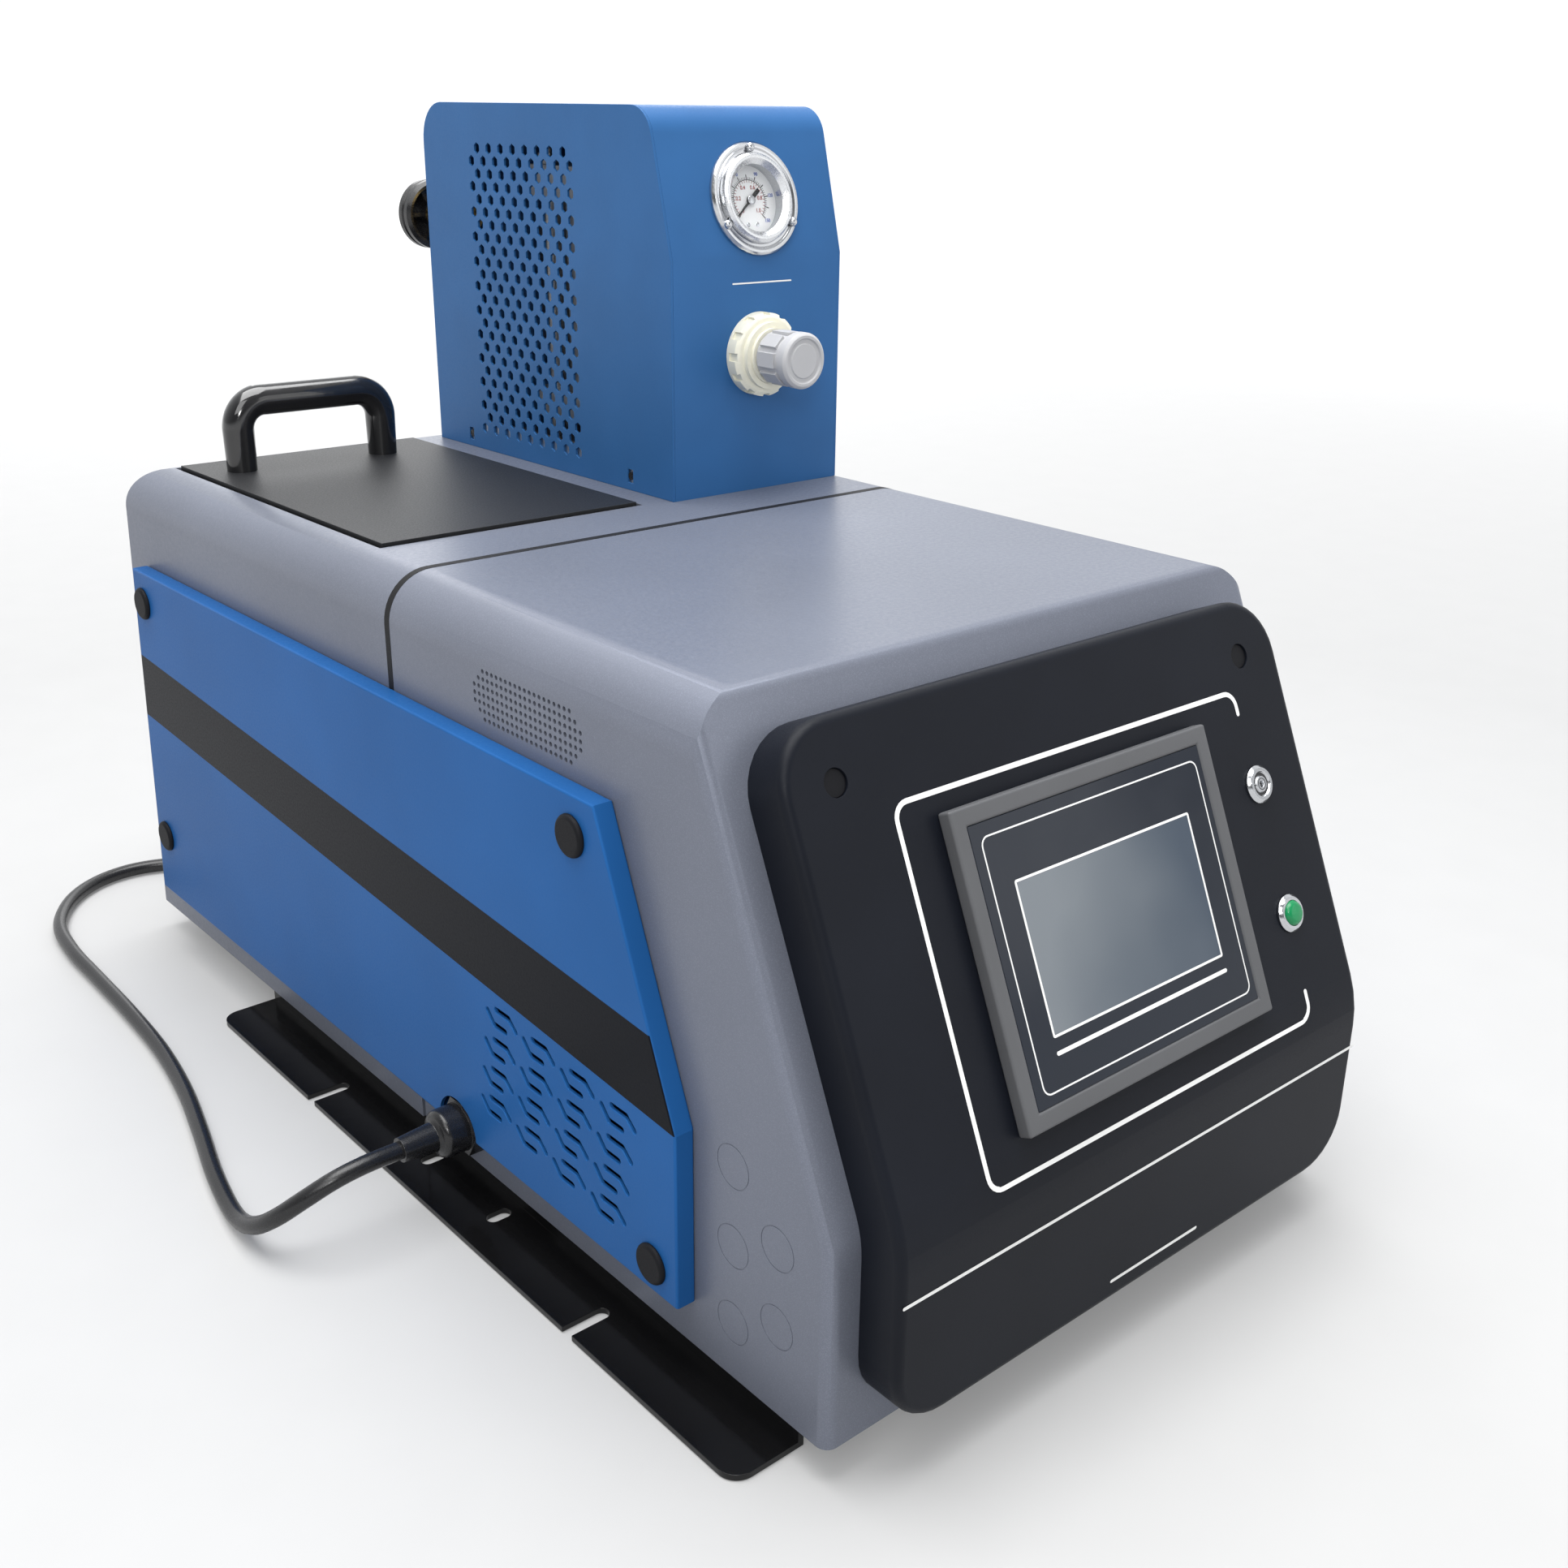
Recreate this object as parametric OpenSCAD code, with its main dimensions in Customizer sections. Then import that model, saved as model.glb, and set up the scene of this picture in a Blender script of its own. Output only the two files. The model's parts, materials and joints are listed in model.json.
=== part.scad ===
// Hot melt glue unit: a heated tank with an air driven pump, in a bench housing
// with a pump tower, a sloping operator panel and a bolted base.
// Frame: +Z up, front towards -Y, origin on the floor at the centre of the base slots.

/* [Housing] */
// Width over the side walls
body_w = 340; // [320:1:380]
// Height of the housing above the base rails
body_h = 292; // [280:1:330]
// Distance from the slot centre forward to the upright front wall
body_front = 267; // [255:1:300]
// Distance from the slot centre back to the foot of the rear wall
body_rear = 388; // [380:1:430]
// How far the rear wall leans forward over its height
rear_rake = 24; // [0:1:30]
// Height of the bend between upright and sloping front
bend_h = 95; // [85:1:110]
// How far the sloping front runs back from the bend to the top
slope_run = 86; // [75:1:95]
// Radius of the rounded top edges
top_r = 24; // [14:1:34]
// Radius of the rounded edges beside the front
front_r = 6; // [3:0.5:14]
// Radius of the edge between the sloping front and the top
brow_r = 6; // [3:0.5:20]
// Radius of the bend between upright and sloping front
fold_r = 45; // [10:1:60]
// Housing sheet thickness
sheet = 2; // [1.5:0.25:3]
// Place of the seam between front and rear housing
seam_y = 47; // [35:1:60]
// Width of the seam
seam_gap = 3; // [2:0.5:5]

/* [Base] */
// Height of the base rails
rail_h = 18; // [15:1:30]
// Steel thickness of the base rails
rail_t = 3; // [2:0.5:4]
// Length of the base rails
rail_len = 486; // [440:2:520]
// Width of a rail's outer flange
flange_w = 34.5; // [30:0.5:50]
// Distance from the housing wall in to the rail web
rail_inset = 7; // [4:0.5:15]
// Width of the fixing slots
slot_w = 7.5; // [5:0.5:10]
// Length of the closed fixing slots
slot_len = 13; // [10:0.5:16]
// Distance from a rail's web out to the middle of its closed slots
slot_inset = 12; // [10:0.5:15]
// Distance between the closed slots along a rail
slot_pitch = 64; // [40:1:120]
// Distance between the open slots along a rail
open_slot_pitch = 250; // [200:1:320]

/* [Side panels] */
// Depth of the blue side trays
tray_depth = 10; // [6:0.5:16]
// Tray sheet thickness
tray_t = 2; // [1:0.25:3]
// Distance from the housing top down to a tray
tray_drop = 55; // [45:1:70]
// Distance from the housing foot up to a tray
tray_lift = 24; // [16:1:30]
// Distance from the upright front wall back to a tray
tray_setback = 83; // [70:1:95]
// How far a tray's front edge leans back above its bend
tray_run = 51; // [40:1:60]
// Diameter of the screw caps
cap_d = 19; // [14:0.5:24]
// Width of the vent slots
vent_w = 3; // [2:0.25:4]

/* [Front panel] */
// Width of the black operator panel
panel_w = 308; // [290:1:316]
// How far the panel stands off the housing
panel_proud = 21.5; // [15:0.5:26]
// Height of the panel's lower edge above the housing foot
panel_lift = 12; // [6:1:20]
// Distance from the panel's upper edge to the top of the sloping front
panel_drop = 13.5; // [10:0.5:30]
// Corner radius of the panel outline
panel_r = 28; // [20:1:36]
// Radius of the panel's front edge
panel_edge = 4.5; // [4:0.5:12]
// Panel wall thickness
panel_t = 3; // [2:0.5:4]

/* [Touch screen] */
// Width of the screen bezel
hmi_w = 163; // [150:1:180]
// Height of the screen bezel
hmi_h = 133; // [120:1:140]
// How far the bezel stands proud of the panel
hmi_proud = 7; // [4:0.5:10]
// Width of the bezel frame
hmi_frame = 8; // [6:0.5:11]
// Height of the screen centre above the bend
hmi_v = 85.5; // [80:0.5:95]
// Depth of the screen's case behind the panel
hmi_depth = 36; // [25:1:45]

/* [Signals] */
// Outer diameter of the lamp and buzzer
lamp_d = 18; // [16.5:0.5:22]
// Thread diameter of the lamp and buzzer
lamp_thread = 16; // [12:0.5:16]
// Distance of the lamp and buzzer from the centre line
lamp_x = 116; // [108:1:125]

/* [Lid] */
// Length of the tank lid
lid_len = 244; // [230:1:246]
// Width of the tank lid
lid_w = 154; // [140:1:156]
// Lid plate thickness
lid_t = 4; // [3:0.5:6]
// Gap around the lid
lid_gap = 2.5; // [2.5:0.25:4]
// How far the lid stands above the housing top
lid_proud = 1.5; // [0.5:0.25:3]
// Distance from the lid's front edge back to its pivot
pivot_back = 16; // [14:0.5:20]
// Diameter of the pivot pins
pin_d = 6; // [4:0.5:8]
// Distance between the handle's legs
handle_pitch = 91; // [80:1:110]
// Height of the handle
handle_h = 47; // [40:1:60]
// Thickness of the handle bar
handle_d = 15; // [12:0.5:18]

/* [Tower] */
// Width of the pump tower
tower_w = 120; // [116:1:130]
// Depth of the pump tower
tower_len = 249; // [240:1:254]
// Height of the pump tower
tower_h = 203; // [196:1:230]
// Height of the bend in the tower front
tower_bend = 127; // [120:1:132]
// How far the upper tower front leans back
tower_run = 19; // [10:0.5:24]
// Radius of the tower's front top edge
tower_r_front = 18; // [10:1:24]
// Radius of the tower's rear top edge
tower_r_rear = 22; // [10:1:30]
// Tower sheet thickness
tower_t = 1.5; // [1:0.25:2.5]
// Size of the hexagonal vent holes across flats
hex_size = 5.6; // [4:0.1:7]

/* [Pump] */
// Bore of the air cylinder
bore_d = 63; // [50:1:66]
// Stroke of the pump
stroke = 40; // [25:1:45]
// Diameter of the pump rod
rod_d = 16; // [12:0.5:20]
// Diameter of the pump barrel
barrel_d = 56; // [44:1:64]

/* [Air control] */
// Diameter of the gauge flange
gauge_d = 60; // [54:0.5:62]
// Diameter of the gauge window
dial_d = 35; // [30:0.5:38]
// Diameter of the regulator's panel nut
nut_d = 45; // [42:0.5:50]
// Diameter of the regulator knob
knob_d = 28; // [24:0.5:32]
// How far the regulator knob can be pulled out
knob_pull = 3; // [2:0.5:4]
// Diameter of the shut-off handwheel
wheel_d = 42; // [36:0.5:50]

/* [Power cord] */
// Diameter of the cord
cord_d = 9; // [7:0.5:10]
// Mean diameter of the stored coil
coil_d = 100; // [90:1:110]

/* [Hidden] */
$fn = 48;
// Running clearance between a pin and its hole
run_fit = 0.05;
// Clearance between pieces that pass each other
free_fit = 0.5;
// Overshoot that makes a cut go clean through
cut = 1;

foot_z = rail_h;
top_z = foot_z + body_h;
bend_z = foot_z + bend_h;
tilt = atan(slope_run / (body_h - bend_h));
rake = atan(rear_rake / body_h);
half_w = body_w / 2;
web_x = half_w - rail_inset;
rail_reach = web_x + flange_w;
slot_x = web_x + slot_inset;
deck_z = foot_z + sheet;
// The centre that the bends of the housing front and the operator panel share
fold_at = [-body_front + fold_r, bend_z - fold_r * tan(tilt / 2)];
// The operator panel's bend line
face_y = -body_front - panel_proud;
face_z = bend_z + panel_proud * tan(tilt / 2);
panel_foot = foot_z + panel_lift;
panel_len = norm([slope_run, body_h - bend_h]) - panel_drop;
// The side trays
tray_top = top_z - tray_drop;
tray_foot = foot_z + tray_lift;
tray_front = -body_front + tray_setback;
tray_bend = bend_z + 14;
tray_rear_gap = 27;
arch_y = -6;
arch_r = 17;
// The touch screen's centre line, which the panel's plugs share
hmi_x = -1.5;
hmi_glass_t = 2;
// The lid and its pivot
lid_margin = top_r + 2;
lid_x0 = lid_margin - half_w;
lid_x1 = lid_x0 + lid_w;
lid_y1 = body_rear - 48;
lid_y0 = lid_y1 - lid_len;
lid_top = top_z + lid_proud;
pivot_y = lid_y0 + pivot_back;
pivot_z = top_z - 9;
ear_t = 3;
ear_r = 7;
ear_x = [lid_x0 + 3, lid_x1 - 3 - ear_t];
bracket_t = 3;
// Room in front of the lid for its front edge as it swings down through the housing sheet
swing_r = norm([pivot_back, lid_top - pivot_z]);
lid_front_gap = max(lid_gap, sqrt(pow(swing_r, 2) - pow(top_z - sheet - pivot_z, 2)) - pivot_back + free_fit);
handle_y = lid_y1 - 34;
handle_x = lid_x0 + 68.5;
// The tower
// The tower takes its share of the width that the lid leaves free
tower_share = 0.49;
tower_x0 = lid_x1 + tower_share * (half_w - lid_x1 - tower_w);
tower_x1 = tower_x0 + tower_w;
tower_mid = tower_x0 + tower_w / 2;
tower_y1 = body_rear - 50.5;
tower_y0 = tower_y1 - tower_len;
tower_top = top_z + tower_h;
tower_bend_z = top_z + tower_bend;
tower_tilt = atan(tower_run / (tower_h - tower_bend));
// The pump, which stands on the manifold
pump_x = tower_mid;
pump_y = tower_y0 + 123.5;
manifold_top = deck_z + 40;
barrel_top = top_z - 18;
barrel_flange = 12;
cap_side = 80;
cap_t = 18;
cylinder_z0 = barrel_top + 42;
tube_z0 = cylinder_z0 + cap_t;
piston_t = 20;
tube_len = stroke + piston_t + 50;
cylinder_z1 = tube_z0 + tube_len + cap_t;
tie_pitch = 62;
tie_d = 8;
// The tank
tank_x0 = lid_x0 + 6;
tank_x1 = lid_x1 - 6;
tank_y0 = lid_y0 + 44;
tank_y1 = lid_y1 - 10;
tank_z0 = deck_z + 30;
tank_z1 = top_z - 40;
tank_wall = 10;
// The air controls on the tower front
reg_z = top_z + 75.5;
neck_d = 30;
neck_len = 14;
nut_t = 9;
spindle_d = 8;
knob_len = 25;
gauge_v = 30;
case_d = 46;
valve_x = tower_x0 + 20.4;
valve_z = top_z + 136;
valve_stem_d = 8;
wheel_t = 14;
wheel_y = tower_y1 + 24;
// The cable gland and the cord's route, chosen by hand on the floor beside the unit
gland_y = arch_y;
gland_z = tray_foot + 1;
gland_af = 27;
gland_len = 42;
coil_at = [110 - half_w, body_rear + 90];
coil_rows = 2;
// The stored cord lies just above the floor
floor_gap = 0.1;
lay_z = cord_d / 2 + floor_gap;
outer_turn = (coil_d + cord_d) / 2;
// From the gland's end: across, along and the part of the gland's height that is left
drop_route = [
    [0, 0, 1], [-18, 0, 1], [-34, 1, 0.935], [-48, 6, 0.74], [-58, 15, 0.48], [-63, 28, 0.232],
    [-64, 44, 0.063], [-62, 64, 0], [-56, 96, 0], [-46, 136, 0], [-36, 181, 0], [-29, 231, 0]
];
// On the floor, from the coil's centre
floor_route = [
    [-178, -198], [-177, -143], [-176, -98], [-170, -58], [-153, -26], [-130, -6], [-104, 1], [-79, -4.5],
    [-57, -20], outer_turn * [cos(225), sin(225)]
];
cord_route = concat(
    [for (p = drop_route) [p[0] - half_w - gland_len, p[1] + gland_y, lay_z + p[2] * (gland_z - lay_z)]],
    [for (p = floor_route) [p[0] + coil_at[0], p[1] + coil_at[1], lay_z]]
);

// Where the rear wall stands at a height
function rear_y(z) = body_rear - rear_rake * (z - foot_z) / body_h;
// Where the front wall stands at a height, moved in by a distance
function slope_y(z, i) = -body_front + (z - bend_z) * tan(tilt) + i / cos(tilt);
// Points on an arc from one angle to another
function arc(c, r, a0, a1, n = 10) =
    [for (k = [0:n]) let (a = a0 + (a1 - a0) * k / n) c + r * [cos(a), sin(a)]];

// Lays a side view outline (Y, Z) across the unit from x0 to x1
module prism_x(x0, x1) {
    translate([x0, 0, 0]) rotate([90, 0, 90]) linear_extrude(x1 - x0) children();
}
// Lays a front view outline (X, Z) along the unit from y0 to y1
module prism_y(y0, y1) {
    translate([0, y1, 0]) rotate([90, 0, 0]) linear_extrude(y1 - y0) children();
}
// A box from its lowest to its highest corner
module block(lo, hi) {
    translate(lo) cube(hi - lo);
}
// A round bar that points along one axis from p
module bar(p, axis, d, len) {
    turn = axis == "x" ? [0, 90, 0] : axis == "y" ? [-90, 0, 0] : [0, 0, 0];
    translate(p) rotate(turn) cylinder(d = d, h = len);
}
// A hexagonal bar by its size across flats
module hex_bar(p, axis, af, len) {
    turn = axis == "x" ? [0, 90, 0] : axis == "y" ? [-90, 0, 0] : [0, 0, 0];
    translate(p) rotate(turn) cylinder(d = af / cos(30), h = len, $fn = 6);
}
// Copies set evenly round the Z axis
module around(n) {
    for (k = [0:n - 1]) rotate([0, 0, 360 / n * k]) children();
}
// A piece and its mirror image on the other side of x = 0
module both_sides() {
    for (s = [0, 1]) mirror([s, 0, 0]) children();
}
// The frame of the operator panel's sloping face: x across, y up the face, z out of it
module on_face(u = 0, v = 0, n = 0) {
    translate([0, face_y, face_z]) rotate([90 - tilt, 0, 0]) translate([u, v, n]) children();
}
// The frame of the panel's upright face: x across, y up, z out of it
module on_foot(u = 0, z = 0, n = 0) {
    translate([u, face_y - n, z]) rotate([90, 0, 0]) children();
}
// The frame of the tower's leaning front
module on_tower(u = 0, v = 0, n = 0) {
    translate([0, tower_y0, tower_bend_z]) rotate([90 - tower_tilt, 0, 0]) translate([u, v, n]) children();
}

// Side view of the housing, moved in by i and open at the foot when moved in
module housing_side(i) {
    z0 = foot_z - (i > 0 ? cut : 0);
    zc = top_z - top_r;
    corner = [rear_y(zc) - top_r / cos(rake), zc];
    polygon(concat(
        [[-body_front + i, z0], [rear_y(z0) - i / cos(rake), z0]],
        arc(corner, top_r - i, rake, 90),
        arc([slope_y(top_z - brow_r, brow_r), top_z - brow_r], brow_r - i, 90, 180 - tilt),
        arc(fold_at, fold_r - i, 180 - tilt, 180, 4)
    ));
}
// Front view of the housing, moved in by i
module housing_front(i) {
    w = half_w - i;
    r = top_r - i;
    z0 = foot_z - (i > 0 ? cut : 0);
    translate([-w, z0]) square([2 * w, top_z - i - r - z0]);
    translate([r - w, z0]) square([2 * (w - r), top_z - i - z0]);
    for (s = [-1, 1]) translate([s * (w - r), top_z - i - r]) circle(r);
}
// Plan of a wall with round front corners, from its front face back
module front_plan(i) {
    w = half_w - i;
    r = front_r - i;
    translate([-w, r]) square([2 * w, 2 * body_rear]);
    translate([r - w, 0]) square([2 * (w - r), body_rear]);
    for (s = [-1, 1]) translate([s * (w - r), r]) circle(r);
}
// The housing's outer form, moved in by i: side view, front view and the two front walls' plans
module housing_form(i) {
    intersection() {
        prism_x(-half_w, half_w) housing_side(i);
        prism_y(-body_front - cut, body_rear + cut) housing_front(i);
        translate([0, i - body_front, -cut]) linear_extrude(2 * top_z) front_plan(i);
        translate([0, -body_front, bend_z]) rotate([-tilt, 0, 0]) translate([0, i, -2 * top_z])
            linear_extrude(4 * top_z) front_plan(i);
    }
}

// Base rails of bent steel with fixing slots
rail_shelf = 40;
rail_corner = 10;
module base_rail(side) {
    through = rail_t + 2 * cut;
    half = (slot_len - slot_w) / 2;
    color([0.05, 0.05, 0.06]) mirror([side < 0 ? 1 : 0, 0, 0]) difference() {
        prism_y(-rail_len / 2, rail_len / 2) polygon([
            [web_x - rail_shelf, foot_z - rail_t], [web_x - rail_t, foot_z - rail_t], [web_x - rail_t, 0],
            [rail_reach, 0], [rail_reach, rail_t], [web_x, rail_t], [web_x, foot_z],
            [web_x - rail_shelf, foot_z]
        ]);
        for (s = [-1, 1]) {
            // Closed slot
            translate([slot_x, s * slot_pitch / 2, -cut]) {
                for (e = [-half, half]) translate([e, 0, 0]) cylinder(d = slot_w, h = through);
                translate([-half, -slot_w / 2, 0]) cube([2 * half, slot_w, through]);
            }
            // Slot that is open to the outer edge
            translate([slot_x + slot_w / 2, s * open_slot_pitch / 2, -cut]) {
                cylinder(d = slot_w, h = through);
                translate([0, -slot_w / 2, 0]) cube([rail_reach, slot_w, through]);
            }
            // Rounded outer corner of the flange
            translate([rail_reach - rail_corner, s * (rail_len / 2 - rail_corner), -cut]) difference() {
                translate([0, s < 0 ? -rail_corner - cut : 0, 0])
                    cube([rail_corner + cut, rail_corner + cut, through]);
                cylinder(r = rail_corner, h = through);
            }
        }
    }
}
module left_base_rail() { base_rail(-1); }
module right_base_rail() { base_rail(1); }

// Deck that carries the tank, the pump and the electrics
module floor_pan() {
    i = sheet + free_fit;
    color([0.3, 0.31, 0.33]) intersection() {
        block([-half_w, -body_front, foot_z], [half_w, rear_y(deck_z) - sheet / cos(rake) - run_fit, deck_z]);
        translate([0, i - body_front, foot_z]) linear_extrude(sheet) front_plan(i);
    }
}

// Perforated patch for the air outlet: rows of small holes, shorter at the top and bottom
grille_pitch = 3.7;
grille_counts = [19, 21, 23, 23, 23, 21, 19];
grille_hole = 2.2;
grille_y = -70.5;
grille_z = top_z - 36.5;
knockouts = [[-209, 104], [-209, 66], [-209, 28], [-236.5, 80.5], [-236.5, 43]];
knockout_d = 20;
knockout_groove = 0.5;
panel_margin = 40;
module front_housing() {
    color([0.47, 0.49, 0.54]) difference() {
        housing_form(0);
        housing_form(sheet);
        block([-half_w - cut, seam_y - seam_gap / 2, 0], [half_w + cut, body_rear + cut, top_z + cut]);
        // Opening behind the operator panel
        on_face(panel_margin - panel_w / 2, panel_margin / 3, -2 * panel_proud)
            cube([panel_w - 2 * panel_margin, panel_len - 1.5 * panel_margin, 3 * panel_proud]);
        for (r = [0:len(grille_counts) - 1]) for (k = [0:grille_counts[r] - 1]) {
            across = k - (grille_counts[r] - 1) / 2;
            up = (len(grille_counts) - 1) / 2 - r;
            bar([-half_w - cut, grille_y + across * grille_pitch, grille_z + up * grille_pitch], "x",
                grille_hole, sheet + 2 * cut);
        }
        for (p = knockouts) difference() {
            bar([-half_w - cut, p[0], foot_z + p[1]], "x", knockout_d, cut + sheet / 8);
            bar([-half_w - 2 * cut, p[0], foot_z + p[1]], "x", knockout_d - 2 * knockout_groove, 3 * cut);
        }
        bar([-half_w - cut, gland_y, gland_z], "x", gland_thread + free_fit, sheet + 2 * cut);
    }
}
// Rear housing: a hood with openings for the lid and the pump
pump_hole = 100;
module rear_housing() {
    color([0.47, 0.49, 0.54]) difference() {
        housing_form(0);
        housing_form(sheet);
        block([-half_w - cut, -body_front - cut, 0], [half_w + cut, seam_y + seam_gap / 2, top_z + cut]);
        block([lid_x0 - lid_gap, lid_y0 - lid_front_gap, top_z - top_r],
              [lid_x1 + lid_gap, lid_y1 + lid_gap, top_z + cut]);
        block([pump_x - pump_hole / 2, pump_y - pump_hole / 2, top_z - top_r],
              [pump_x + pump_hole / 2, pump_y + pump_hole / 2, top_z + cut]);
        // The flat rear wall is a sheet of its own
        intersection() {
            block([-half_w + top_r, pump_y, 0], [half_w - top_r, body_rear + cut, top_z - top_r]);
            prism_x(-half_w, half_w) polygon([
                [rear_y(0) - top_r / 2, 0], [rear_y(0) + top_r / 2, 0],
                [rear_y(top_z) + top_r / 2, top_z], [rear_y(top_z) - top_r / 2, top_z]
            ]);
        }
    }
}
// Flat rear wall with holes for the hoses and their sockets
port_x = [pump_x - 25, pump_x + 25];
port_d = 20;
socket_d = 28;
socket_z = deck_z + 130;
socket_flange = 36;
module socket_place(x) {
    translate([x, rear_y(socket_z), socket_z]) rotate([rake - 90, 0, 0]) children();
}
module rear_wall() {
    zt = top_z - top_r - free_fit;
    w = half_w - top_r - free_fit;
    s = sheet / cos(rake);
    color([0.47, 0.49, 0.54]) difference() {
        prism_x(-w, w) polygon([
            [rear_y(foot_z) - s, foot_z], [rear_y(foot_z), foot_z], [rear_y(zt), zt], [rear_y(zt) - s, zt]
        ]);
        for (x = port_x) {
            bar([x, manifold_y1, port_z], "y", port_d + 2 * free_fit, body_rear - manifold_y1 + cut);
            socket_place(x) translate([0, 0, -2 * sheet]) cylinder(d = socket_d + 2 * run_fit, h = 3 * sheet);
        }
    }
}
// Black strip behind the seam that both housings sit on
seal_w = 18;
seal_t = 4;
module seam_seal() {
    w = seal_w / 2;
    color([0.06, 0.06, 0.07]) difference() {
        prism_y(seam_y - w, seam_y + w) housing_front(sheet + run_fit);
        prism_y(seam_y - w - cut, seam_y + w + cut) housing_front(sheet + seal_t);
        block([-half_w, seam_y - seal_w, 0], [half_w, seam_y + seal_w, deck_z]);
    }
}

// Outline of a side tray in the side view, moved in by i
function tray_points(i) = [
    [tray_front + i, tray_foot + i],
    [rear_y(tray_foot) - tray_rear_gap - i, tray_foot + i],
    [rear_y(tray_top) - tray_rear_gap - i, tray_top - i],
    [tray_front + tray_run + i, tray_top - i],
    [tray_front + i, tray_bend]
];
function tray_caps() = [
    [tray_front + 67, tray_top - 18],
    [tray_front + 17, tray_foot + 14],
    [rear_y(tray_top) - tray_rear_gap - 12, tray_top - 19],
    [rear_y(tray_foot) - tray_rear_gap - 18, tray_foot + 41]
];
// Outline of a slot of width w with round ends that follows three points
function unit2(v) = v / norm(v);
function side2(v) = [-v[1], v[0]];
function hook(p, w) =
    let (a = unit2(p[1] - p[0]), b = unit2(p[2] - p[1]), m = unit2(side2(a) + side2(b)),
         k = w / 2 / (m * side2(a)), ta = atan2(a[1], a[0]), tb = atan2(b[1], b[0]))
    concat(arc(p[0], w / 2, ta + 90, ta + 270, 6), [p[1] - m * k],
           arc(p[2], w / 2, tb - 90, tb + 90, 6), [p[1] + m * k]);
vent_rows = 4;
vent_cols = 4;
vent_across = [30.2, 2.2];
vent_down = [3.1, -17];
upper_hook = [[0, 0], [5.5, 4.5], [16, 4.5]];
lower_hook = [[9, -4], [18.5, -4], [23.5, 1.5]];
cap_shank = 10;
cap_edge = 2;
cap_t0 = 2.6;
module tray_vents() {
    for (r = [0:vent_rows - 1]) for (c = [0:vent_cols - 1])
        translate([tray_front + 28, tray_bend - 11] + c * vent_across + r * vent_down) {
            polygon(hook(upper_hook, vent_w));
            polygon(hook(lower_hook, vent_w));
        }
}
// A folded tray with vents; the left one has an arch over the cable gland
module side_tray(arch) {
    x0 = -half_w - tray_depth;
    color([0.16, 0.33, 0.62]) difference() {
        prism_x(x0, -half_w) polygon(tray_points(0));
        prism_x(x0 + tray_t, -half_w + cut) polygon(tray_points(tray_t));
        prism_x(x0 - cut, x0 + tray_t + cut) tray_vents();
        for (p = tray_caps()) bar([x0 - cut, p[0], p[1]], "x", cap_shank + 2 * free_fit, tray_t + 2 * cut);
        if (arch) bar([x0 - cut, arch_y, tray_foot], "x", 2 * arch_r, tray_depth + 2 * cut);
    }
}
// Round caps over the tray screws
module tray_cap_set() {
    x0 = -half_w - tray_depth;
    color([0.05, 0.05, 0.06]) for (p = tray_caps()) translate([x0, p[0], p[1]]) rotate([0, -90, 0]) {
        rotate_extrude() polygon(concat(
            [[0, 0], [cap_d / 2, 0]], arc([cap_d / 2 - cap_edge, cap_t0 - cap_edge], cap_edge, 0, 90, 4),
            [[0, cap_t0]]
        ));
        translate([0, 0, -tray_depth]) cylinder(d = cap_shank, h = tray_depth);
    }
}
module left_side_panel() { side_tray(true); }
module right_side_panel() { mirror([1, 0, 0]) side_tray(false); }
module left_panel_caps() { tray_cap_set(); }
module right_panel_caps() { mirror([1, 0, 0]) tray_cap_set(); }

// A disc whose front edge is rounded, for the corners of the operator panel
module edge_disc(r, e, h) {
    rotate_extrude($fn = 32) polygon(concat([[0, -h], [r, -h]], arc([r - e, -e], e, 0, 90, 4), [[0, 0]]));
}
// The operator panel's outer form, moved in by i
module panel_form(i) {
    h = panel_proud + 14;
    e = panel_edge - i;
    hull() for (s = [-1, 1]) {
        on_face(s * (panel_w / 2 - panel_r), panel_len - panel_r, -i) edge_disc(panel_r - i, e, h);
        on_foot(s * (panel_w / 2 - panel_r), panel_foot + panel_r, -i) edge_disc(panel_r - i, e, h);
        for (p = arc(fold_at, fold_r + panel_proud - panel_edge, 180 - tilt, 180, 3))
            translate([s * (panel_w / 2 - panel_edge), p[0], p[1]]) sphere(e, $fn = 32);
    }
}
buzzer_v = 116;
lamp_v = 54;
plug_cap_d = 11.5;
plug_cap_back = 3;
plug_cap_drop = 1;
plug_cap_at = [panel_w / 2 - 27.4, panel_len - 26];
case_w = hmi_w - 2 * hmi_frame - 7;
case_h = hmi_h - 2 * hmi_frame - 7;
module front_panel() {
    color([0.1, 0.1, 0.11]) difference() {
        panel_form(0);
        housing_form(0);
        panel_form(panel_t);
        on_face(hmi_x - case_w / 2 - free_fit, hmi_v - case_h / 2 - free_fit, -panel_proud)
            cube([case_w + 2 * free_fit, case_h + 2 * free_fit, 2 * panel_proud]);
        for (v = [buzzer_v, lamp_v]) on_face(lamp_x, v, -panel_t - cut)
            cylinder(d = lamp_thread + 2 * run_fit, h = panel_t + 2 * cut);
        for (s = [-1, 1]) on_face(hmi_x + s * plug_cap_at[0], plug_cap_at[1], -panel_t - cut)
            cylinder(d = plug_cap_d, h = panel_t + 2 * cut);
    }
}
module front_panel_caps() {
    color([0.04, 0.04, 0.05]) for (s = [-1, 1])
        on_face(hmi_x + s * plug_cap_at[0], plug_cap_at[1], -panel_t - plug_cap_back)
            cylinder(d = plug_cap_d - 2 * run_fit, h = panel_t + plug_cap_back - plug_cap_drop);
}

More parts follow.
